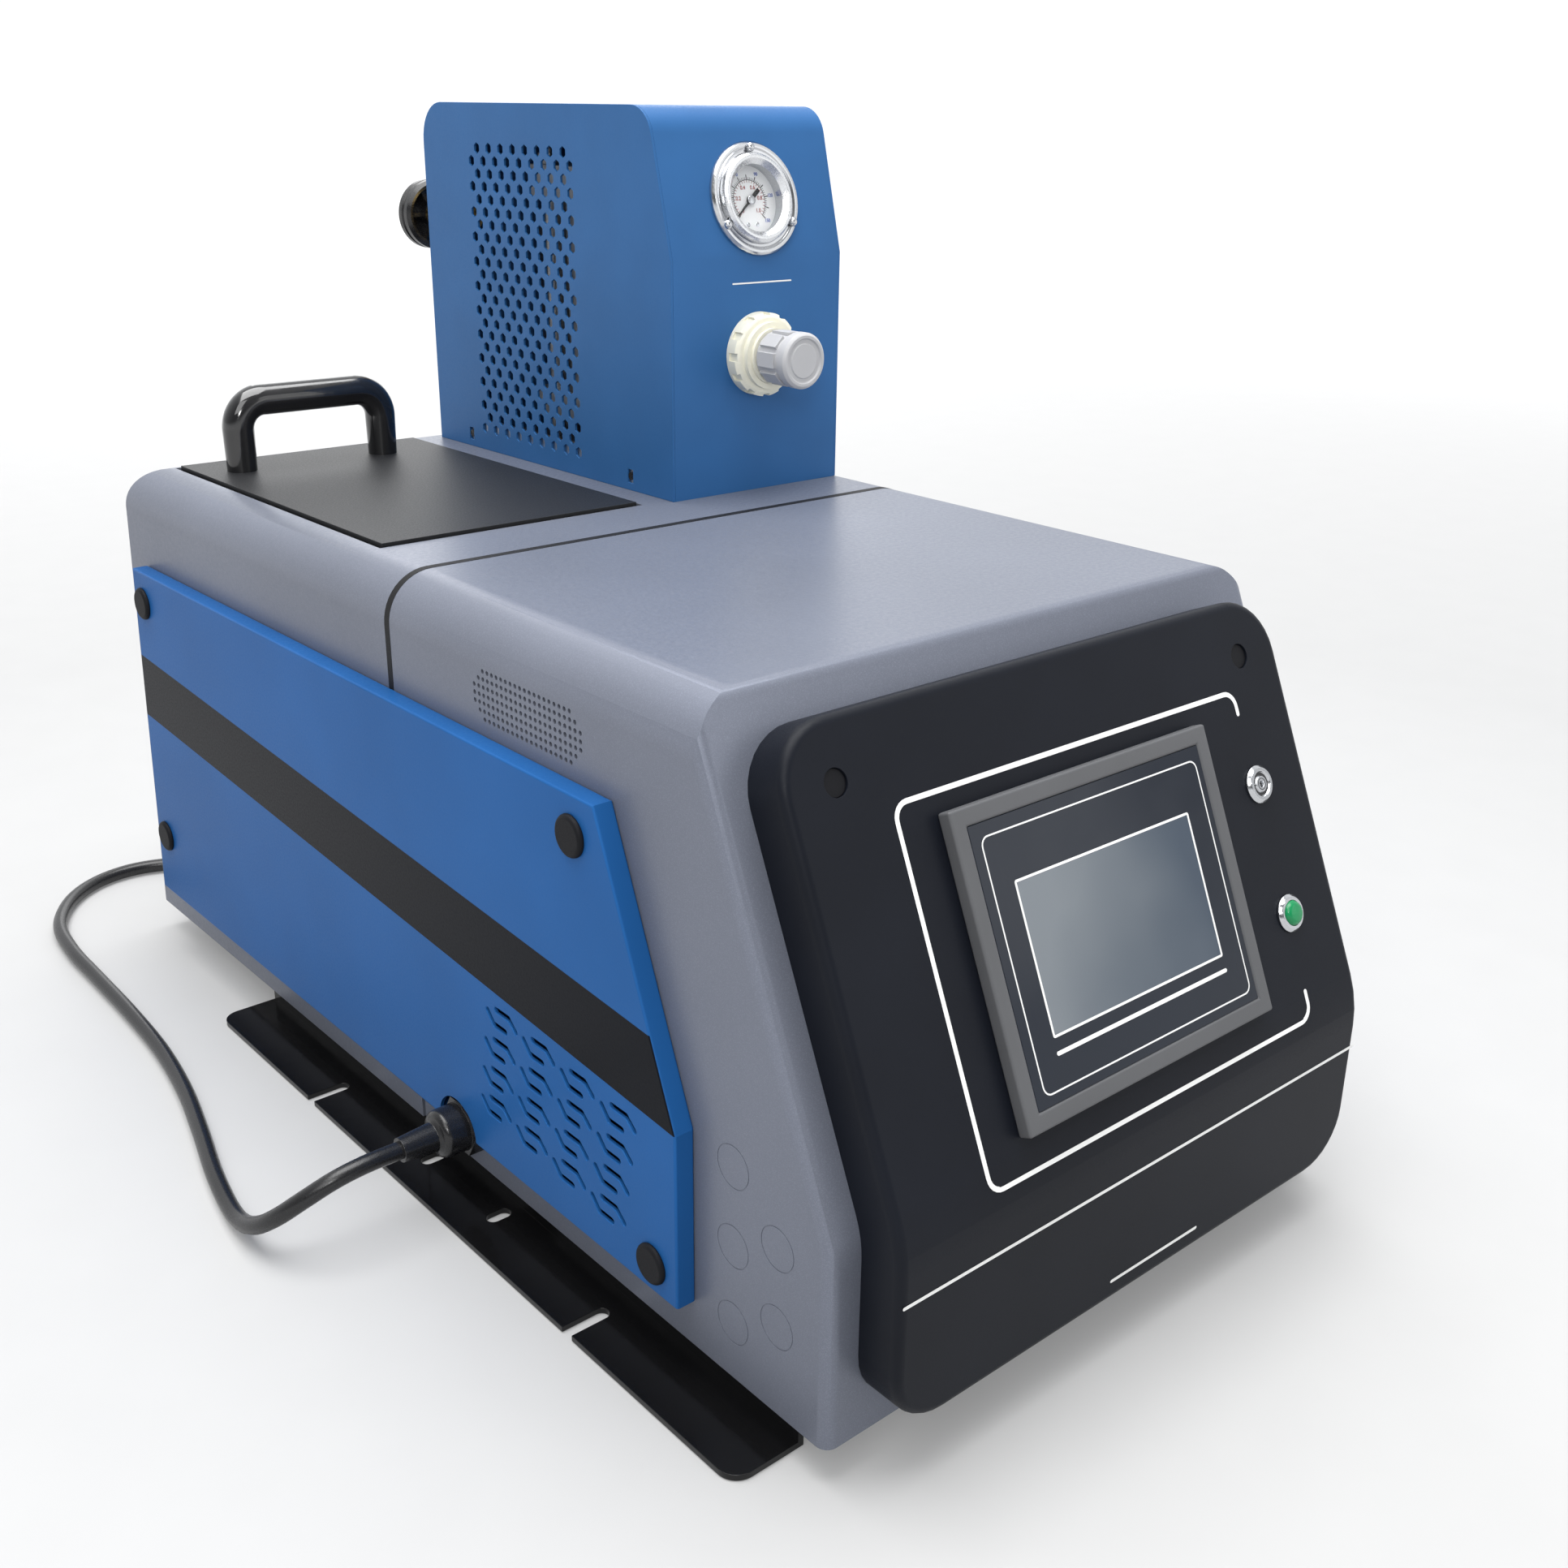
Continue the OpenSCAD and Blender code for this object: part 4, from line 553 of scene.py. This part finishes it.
def panel_print():
    """White lines on the operator panel: an open frame round the screen and rules across the foot."""
    x0, x1, v0, v1, r = (v * MM for v in (-103.6, 114.0, 3.8, 160.6, 7.0))
    gap_low, gap_high = 16.7 * MM, 150.1 * MM
    path = np.vstack([[(x1, gap_high)],
                      corner((x1 - r, v1 - r), r, 0, 90), corner((x0 + r, v1 - r), r, 90, 180),
                      corner((x0 + r, v0 + r), r, 180, 270), corner((x1 - r, v0 + r), r, 270, 360),
                      [(x1, gap_low)]])
    ribbon("panel_frame_line", PANEL_FACE, path, FRAME_LINE_W, PRINT_WHITE)
    for name, left, right, z in (("panel_long_rule", -151.5, 152.5, 92.3),
                                 ("panel_short_rule", -23.2, 36.4, 41.0)):
        ends = np.array([(left, z), (right, z)]) * MM - [0.0, PANEL_BEND[2]]
        ribbon(name, PANEL_FOOT, ends, FOOT_RULE_W, PRINT_WHITE)


def tower_print():
    """One short white rule on the tower's front, midway between the gauge and the regulator."""
    z = 423.4 * MM
    ribbon("tower_rule", TOWER_FACE, [(71.6 * MM, z), (112.9 * MM, z)], TOWER_RULE_W, PRINT_WHITE)


def screen_print():
    """The screen's picture with a painted glare, its outline, a rule below it and a round framing line on the
    glass.
    """
    x0, x1, v0, v1 = (v * MM for v in (-56.8, 54.7, 52.2, 116.9))
    framing = round_box(*(v * MM for v in (-69.6, 68.0, 31.5, 138.0, 4.0)))
    ribbon("screen_framing_line", GLASS_FACE, framing, FRAMING_W, PRINT_WHITE, closed=True)
    outline = round_box(x0, x1, v0, v1, 0.6 * MM)
    ribbon("screen_outline", GLASS_FACE, outline, OUTLINE_W, PRINT_WHITE, closed=True)
    bar = 45.3 * MM
    ribbon("screen_rule", GLASS_FACE, [(x0, bar), (x1, bar)], SCREEN_RULE_W, PRINT_WHITE)
    cols, rows = 9, 7
    u, v = np.meshgrid(np.linspace(x0, x1, cols), np.linspace(v0, v1, rows))
    flat = np.stack([u.ravel(), v.ravel()], 1)
    # The screen's dim gray, with a painted glare lighter towards its left edge
    painted_glare = screen_glare_finish("dim_screen_painted_glare", SCREEN_LOW, SCREEN_GLARE_HIGH, GLASS_FACE, x0, x1)
    low, top = (GLASS_FACE.at(flat, PRINT_LIFT * k).reshape(rows, cols, 3) for k in (0.3, 0.6))
    grid_piece("screen_picture_and_glare", wrapped(low, top), painted_glare, "machine", closed=True)


def wrapped(low, top):
    """A thin plate as one closed strip: its top rows, then its bottom rows in reverse."""
    return np.concatenate([top, low[::-1]])


# The gauge


# The scale's first angle and its sweep, in degrees, and the radius of its arc
SCALE_START, SCALE_SWEEP = 225.0, 270.0
ARC_R = 10.9 * MM
INNER_NUMBERS_R, OUTER_NUMBERS_R = 7.6 * MM, 15.3 * MM
MARK_LIFT = 0.02 * MM


def ticks(name, count, r0, r1, width, material, skip=0):
    """Scale marks of a dial: thin blocks from radius r0 to r1 at even steps of the sweep."""
    turn = np.radians(SCALE_START - SCALE_SWEEP * np.arange(count) / (count - 1))
    if skip:
        turn = turn[np.arange(count) % skip != 0]
    out = np.stack([np.cos(turn), np.sin(turn)], 1)
    side = np.stack([-out[:, 1], out[:, 0]], 1) * width / 2
    corners = np.stack([out * r0 - side, out * r1 - side, out * r1 + side, out * r0 + side], 1)
    layers = [DIAL_FACE.at(corners.reshape(-1, 2), DIAL_TOP + k * MARK_LIFT).reshape(-1, 4, 3)
              for k in (1, 3)]
    points = np.concatenate(layers, 1).reshape(-1, 3)
    block = np.array([[3, 2, 1, 0], [4, 5, 6, 7], [0, 1, 5, 4], [1, 2, 6, 5], [2, 3, 7, 6], [3, 0, 4, 7]])
    faces = (np.arange(len(turn))[:, None, None] * 8 + block).reshape(-1, 4)
    mesh = bpy.data.meshes.new(name)
    mesh.from_pydata(points, [], faces.tolist())
    outward(mesh)
    return finish_piece(name, mesh, material, "machine")


def dial_number(text, turn, radius, size, material):
    """A number on the dial, upright, centred at an angle and radius."""
    name = f"dial_number_{text.replace('.', '_')}_{'inner' if material is PRINT_RED else 'outer'}"
    curve = bpy.data.curves.new(name, "FONT")
    curve.body, curve.size, curve.extrude, curve.offset = text, size, 0.02 * MM, 0.06 * MM
    curve.align_x, curve.align_y = "CENTER", "CENTER"
    letters = bpy.data.objects.new(name, curve)
    bpy.context.scene.collection.objects.link(letters)
    bpy.context.view_layer.update()
    mesh = bpy.data.meshes.new_from_object(letters.evaluated_get(bpy.context.evaluated_depsgraph_get()))
    bpy.data.objects.remove(letters)
    bpy.data.curves.remove(curve)
    co = np.empty(len(mesh.vertices) * 3, np.float32)
    mesh.vertices.foreach_get("co", co)
    flat = co.reshape(-1, 3)
    where = radius * np.array([math.cos(math.radians(turn)), math.sin(math.radians(turn))])
    points = DIAL_FACE.at(flat[:, :2] + where) + (flat[:, 2:] + DIAL_TOP + 0.05 * MM) * DIAL_FACE.out
    mesh.vertices.foreach_set("co", points.astype(np.float32).ravel())
    mesh.update()
    return finish_piece(name, mesh, material, "machine")


def dome(name, face, at, radius, height, lift, material, body):
    """A low round head: a quarter of an ellipse turned about the face's way out."""
    a = np.radians(np.linspace(0.0, 86.0, 7))
    b = np.radians(np.arange(24) * 15.0)
    r, rise = radius * np.cos(a), lift + height * np.sin(a)
    uv = np.asarray(at) + r[:, None, None] * np.stack([np.cos(b), np.sin(b)], 1)
    points = face.at(uv.reshape(-1, 2), np.repeat(rise, len(b))[:, None])
    return grid_piece(name, points.reshape(len(a), len(b), 3), material, body, around=True, caps=True)


def gauge_scale():
    """A pressure dial: one arc with outer and inner marks, numbers on both sides, and round heads."""
    arc = corner((0.0, 0.0), ARC_R, SCALE_START - SCALE_SWEEP, SCALE_START, 61)
    ribbon("dial_arc", DIAL_FACE, arc, 0.32 * MM, BLACK_PRINT_AND_SHADE, lift=DIAL_TOP + MARK_LIFT)
    ticks("dial_main_marks", 11, 11.0 * MM, 13.6 * MM, 0.55 * MM, BLACK_PRINT_AND_SHADE)
    ticks("dial_fine_marks", 51, 11.0 * MM, 12.3 * MM, 0.28 * MM, BLACK_PRINT_AND_SHADE, skip=5)
    ticks("dial_inner_marks", 29, 9.5 * MM, 10.8 * MM, 0.30 * MM, PRINT_RED)
    for k in range(6):
        turn = SCALE_START - SCALE_SWEEP * k / 5
        dial_number("0" if k == 0 else f"{k / 5:.1f}", turn, INNER_NUMBERS_R, 2.9 * MM, PRINT_RED)
        dial_number(f"{30 * k}", turn, OUTER_NUMBERS_R, 2.5 * MM, PRINT_BLUE)
    for side, u in (("left", -3.2 * MM), ("right", 3.2 * MM)):
        dome(f"dial_{side}_screw", DIAL_FACE, (u, -12.6 * MM), 1.3 * MM, 0.7 * MM, DIAL_TOP,
             FINISHES["bright_steel"], "machine")
    dome("needle_hub", DIAL_FACE, (0.0, 0.0), 2.6 * MM, 0.8 * MM, HUB_TOP, FINISHES["machined_steel"],
         "needle")


# The buzzer's painted shade, and the seam's seal widened with painted shade

# Width, thickness, lift above the housing and lower end of the seam's dark strip: the seal and painted shade
SEAM_STRIP_W, SEAM_STRIP_T, SEAM_STRIP_LIFT, SEAM_STRIP_FOOT = 4.4 * MM, 1.0 * MM, 0.15 * MM, 60.0 * MM


def buzzer_painted_shade():
    """Painted shade: dark rings in the buzzer's groove and round its middle, and a dark dome in its sound
    hole.
    """
    # Black rings painted as the shade in the buzzer's groove and round its middle
    for name, r, width, lift in (("groove", 4.7, 1.3, 1.62), ("inner", 2.6, 0.35, 2.42)):
        circle = np.asarray(BUZZER_AT) + corner((0.0, 0.0), r * MM, 0.0, 350.0, 36)
        ribbon(f"buzzer_{name}_ring", PANEL_FACE, circle, width * MM, BLACK_PRINT_AND_SHADE, closed=True,
               lift=lift * MM)
    # A black dome painted as the shade in the sound hole
    dome("buzzer_hole_shade", PANEL_FACE, BUZZER_AT, 1.15 * MM, 0.4 * MM, 0.85 * MM, BLACK_PRINT_AND_SHADE,
         "machine")


def seam_seal_and_shade():
    """The rubber seal over the gap between the two housings, lapping over both edges as painted shade of the
    groove.

    Its path is the housing's outline moved out by its lift: up one side, a quarter circle, across
    the top, another quarter circle and down again. Its section is a rectangle.
    """
    r = TOP_R + SEAM_STRIP_LIFT
    x, z = HALF_W - TOP_R, TOP_Z - TOP_R
    sides = corner((x, z), r, 90.0, 0.0, 13)
    half = np.vstack([[(0.0, z + r)], sides, [(x + r, SEAM_STRIP_FOOT)]])
    line = np.vstack([half[::-1] * (-1, 1), half[1:]])
    step = np.gradient(line, axis=0)
    inwards = np.stack([step[:, 1], -step[:, 0]], 1) / np.linalg.norm(step, axis=1, keepdims=True)
    shade_ring = [(w, line + t * inwards) for w, t in ((-1, 0.0), (1, 0.0), (1, SEAM_STRIP_T), (-1, SEAM_STRIP_T))]
    points = [np.stack([p[:, 0], np.full(len(p), SEAM_Y + w * SEAM_STRIP_W / 2), p[:, 1]], 1) for w, p in shade_ring]
    # Dark rubber laid wider than the gap, as painted shade of the groove and its rounded edges
    grid_piece("seam_seal_and_shade", np.stack(points, 1), FINISHES["seal_rubber"], "machine",
               around=True, caps=True)


# The cord


CORD_D = 9.0 * MM
COIL_AT = np.array([-60.0, 478.0]) * MM
COIL_LEVEL = (4.6 * MM, 13.6 * MM)
COIL_RADIUS = (54.5 * MM, 45.5 * MM)
CORD_ROUTE = np.array([
    (-212, -6, 43), (-230, -6, 43), (-246, -5, 40.5), (-260, 0, 33), (-270, 9, 23), (-275, 22, 13.5),
    (-276, 38, 7), (-274, 58, 4.6), (-268, 90, 4.6), (-258, 130, 4.6), (-248, 175, 4.6), (-241, 225, 4.6),
    (-238, 280, 4.6), (-237, 335, 4.6), (-236, 380, 4.6), (-230, 420, 4.6), (-213, 452, 4.6),
    (-190, 472, 4.6), (-164, 479, 4.6), (-139, 473.5, 4.6), (-117, 458, 4.6),
]) * MM
CORD_POINTS, COIL_POINTS = 420, 100
COIL_START, COIL_TURNS = 225.0, 4.125

# Part of a turn over which the coil changes its radius or its level
CHANGE = 1 / 3
PLUG_ENTRY = np.array([-46.0, 423.5, 18.1]) * MM
TIE_W = 6.0 * MM
TIE_T = 0.6 * MM


def coil_turns():
    """The stored turns: an outer and an inner one on the floor, then an inner and an outer one on top.

    The angle grows evenly. The radius and the level change over a third of a turn, along half a
    cosine wave, so that each turn lies beside or on the one before it. The end rises to the plug.
    """
    turns = np.linspace(0.0, COIL_TURNS, COIL_POINTS)

    def change(at):
        """0 before a turn count, 1 a third of a turn later."""
        t = np.clip((turns - at) / CHANGE, 0.0, 1.0)
        return (1 - np.cos(math.pi * t)) / 2

    angle = np.radians(COIL_START) + 2 * math.pi * turns
    inwards = change(1.0 - CHANGE / 2) - change(3.0 - CHANGE / 2)
    r = COIL_RADIUS[0] + (COIL_RADIUS[1] - COIL_RADIUS[0]) * inwards
    z = COIL_LEVEL[0] + (COIL_LEVEL[1] - COIL_LEVEL[0]) * change(2.0 - CHANGE / 2)
    z += (PLUG_ENTRY[2] - COIL_LEVEL[1]) * change(COIL_TURNS - CHANGE)
    return np.stack([COIL_AT[0] + r * np.cos(angle), COIL_AT[1] + r * np.sin(angle), z], 1)


def smooth_way(points, count):
    """Points at even steps along the Catmull-Rom curve through the given points, and its length."""
    p = np.vstack([2 * points[0] - points[1], points, 2 * points[-1] - points[-2]])
    t = np.linspace(0.0, 1.0, 16, endpoint=False)[:, None, None]
    a, b, c, d = (p[k:len(p) - 3 + k][None] for k in range(4))
    curve = 0.5 * (2 * b + (c - a) * t + (2 * a - 5 * b + 4 * c - d) * t**2 + (3 * b - a - 3 * c + d) * t**3)
    line = np.vstack([curve.transpose(1, 0, 2).reshape(-1, 3), points[-1:]])
    run = np.concatenate([[0.0], np.cumsum(np.linalg.norm(np.diff(line, axis=0), axis=1))])
    even = np.linspace(0.0, run[-1], count)
    return np.stack([np.interp(even, run, line[:, k]) for k in range(3)], 1), run[-1]


def power_cord():
    """The mains lead from the gland along the floor to its stored coil and plug."""
    way, length = smooth_way(np.vstack([CORD_ROUTE, coil_turns(), PLUG_ENTRY[None]]), CORD_POINTS)
    curve = bpy.data.curves.new("power_cord", "CURVE")
    curve.dimensions = "3D"
    curve.bevel_depth = CORD_D / 2
    curve.bevel_resolution = 4
    spline = curve.splines.new("POLY")
    spline.points.add(len(way) - 1)
    spline.points.foreach_set("co", np.hstack([way, np.ones((len(way), 1))]).ravel())
    curve.materials.append(FINISHES["cord_rubber"])
    piece = bpy.data.objects.new("power_cord", curve)
    bpy.context.scene.collection.objects.link(piece)
    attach(piece, "machine")
    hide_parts("cord_lead", "cord_coil")
    ties = [coil_tie("coil_tie_near", 330.0), coil_tie("coil_tie_far", 120.0)]


def coil_tie(name, turn):
    """A strap round the bundle: a flat section carried round a box with round corners."""
    out = np.array([math.cos(math.radians(turn)), math.sin(math.radians(turn)), 0.0])
    along = np.array([-out[1], out[0], 0.0])
    middle = np.array([*COIL_AT, sum(COIL_LEVEL) / 2]) + out * sum(COIL_RADIUS) / 2
    half = CORD_D + TIE_T / 2
    loop = round_box(-half, half, -half, half, CORD_D / 2)
    loop[:, 1] = np.maximum(loop[:, 1], TIE_T / 2 - middle[2])
    way = middle + loop[:, :1] * out + loop[:, 1:] * np.array([0.0, 0.0, 1.0])
    spread_out = (way - middle) / np.linalg.norm(way - middle, axis=1, keepdims=True)
    section = np.array([(-TIE_W / 2, -TIE_T / 2), (TIE_W / 2, -TIE_T / 2), (TIE_W / 2, TIE_T / 2),
                        (-TIE_W / 2, TIE_T / 2)])
    points = way[:, None] + section[None, :, :1] * along + section[None, :, 1:] * spread_out[:, None]
    return grid_piece(name, points, FINISHES["black_plastic"], "machine", around=True,
                      closed=True)


# The studio


CAMERA_AT = (-0.53087, -0.65244, 0.51305)
CAMERA_RIGHT = (0.75799, -0.65216, 0.0116)
CAMERA_DOWN = (-0.23297, -0.28729, -0.92908)
CAMERA_AHEAD = (0.60924, 0.70153, -0.3697)
CAMERA_LENS, SENSOR_W = 39.113, 36.0
FLOOR_HALF, FLOOR_CELLS, FLOOR_DROP = 60.0, 4, 0.0004

# The floor's glow near and far, and the distances between which it grows
FLOOR_GLOW, GLOW_FROM, GLOW_TO = (0.15, 0.80), 1.0, 4.0

# The room's light on the camera's side and beyond the unit
ROOM_LIGHT = (0.12, 1.08)


def studio():
    """The camera at the photograph's place, a pale floor and large soft lights."""
    scene = bpy.context.scene
    scene.view_settings.view_transform = "Standard"
    lens = bpy.data.cameras.new("photo_camera")
    lens.lens, lens.sensor_width, lens.sensor_fit = CAMERA_LENS, SENSOR_W, "HORIZONTAL"
    lens.clip_start = 0.05
    camera = bpy.data.objects.new("photo_camera", lens)
    right, down, ahead = (Vector(v).normalized() for v in (CAMERA_RIGHT, CAMERA_DOWN, CAMERA_AHEAD))
    turn = Matrix((right, -down, -ahead)).transposed().to_4x4()
    camera.matrix_world = Matrix.Translation(CAMERA_AT) @ turn
    scene.collection.objects.link(camera)
    scene.camera = camera

    n = FLOOR_CELLS + 1
    u, v = np.meshgrid(*[np.linspace(-FLOOR_HALF, FLOOR_HALF, n)] * 2)
    ground = bpy.data.meshes.new("floor")
    points = np.stack([u.ravel(), v.ravel(), np.full(u.size, -FLOOR_DROP)], 1)
    i, j = (a.ravel() for a in np.meshgrid(*[np.arange(FLOOR_CELLS)] * 2, indexing="ij"))
    first = i * n + j
    ground.from_pydata(points, [], np.stack([first, first + 1, first + n + 1, first + n], 1).tolist())
    ground.materials.append(pale_floor())
    floor = bpy.data.objects.new("floor", ground)
    scene.collection.objects.link(floor)

    for name, at, aim, width, power in (
        ("key_softbox", (-1.7, -1.3, 2.2), (0.0, 0.0, 0.2), 1.5, 22.0),
        ("top_softbox", (-0.1, 0.1, 2.6), (0.0, 0.05, 0.2), 2.2, 98.0),
        ("edge_lamp", (-0.95, -1.15, 1.0), (0.0, 0.0, 0.2), 0.25, 4.5),
        ("front_fill", (1.3, -2.2, 1.1), (0.0, -0.1, 0.2), 1.4, 6.0),
        ("rear_fill", (1.2, 2.2, 1.4), (0.0, 0.2, 0.2), 1.4, 10.0),
    ):
        light = bpy.data.lights.new(name, "AREA")
        light.shape, light.size, light.energy = "SQUARE", width, power
        lamp = bpy.data.objects.new(name, light)
        lamp.location = at
        lamp.rotation_euler = (Vector(aim) - Vector(at)).to_track_quat("-Z", "Y").to_euler()
        scene.collection.objects.link(lamp)
    scene.world = white_room()


def pale_floor():
    """A white floor whose own glow makes up for the lamps where they fall off with distance."""
    m = coating("pale_floor", (0.39, 0.39, 0.39), 0.7, mottle=0.01, grain_depth=0.0, specular=0.1)
    tree = m.node_tree
    away = tree.nodes.new("ShaderNodeVectorMath")
    away.operation = "LENGTH"
    tree.links.new(place(tree), away.inputs[0])
    glow = tree.nodes["Principled BSDF"].inputs
    glow["Emission Color"].default_value = (1.0, 1.0, 1.0, 1.0)
    strength = spread(tree, away.outputs["Value"], *FLOOR_GLOW, GLOW_FROM, GLOW_TO)
    tree.links.new(strength, glow["Emission Strength"])
    return m


def white_room():
    """A room that is white beyond the unit and all along the horizon, and dimmer on the camera's side.

    The light from a direction grows with its cosine to the camera's level way ahead, and is white
    where the direction rises by less than a small sine.
    """
    world = bpy.data.worlds.new("white_studio")
    world.use_nodes = True
    tree = world.node_tree
    along = tree.nodes.new("ShaderNodeVectorMath")
    along.operation = "DOT_PRODUCT"
    split = tree.nodes.new("ShaderNodeSeparateXYZ")
    way = tree.nodes.new("ShaderNodeTexCoord").outputs["Generated"]
    for socket in (along.inputs[0], split.inputs["Vector"]):
        tree.links.new(way, socket)
    ahead = np.array([CAMERA_AHEAD[0], CAMERA_AHEAD[1], 0.0])
    along.inputs[1].default_value = ahead / np.linalg.norm(ahead)
    sky = tree.nodes["Background"]
    sky.inputs["Color"].default_value = (0.97, 0.985, 1.0, 1.0)
    dim, white = ROOM_LIGHT
    level = spread(tree, split.outputs["Z"], white, 0.0, 0.05, 0.2)
    light = sums(tree, "MAXIMUM", spread(tree, along.outputs["Value"], dim, white, -0.9, 0.6), level)
    tree.links.new(light, sky.inputs["Strength"])
    return world


studio()
dress_all()
panel_print()
screen_print()
tower_print()
gauge_scale()
buzzer_painted_shade()
seam_seal_and_shade()
power_cord()
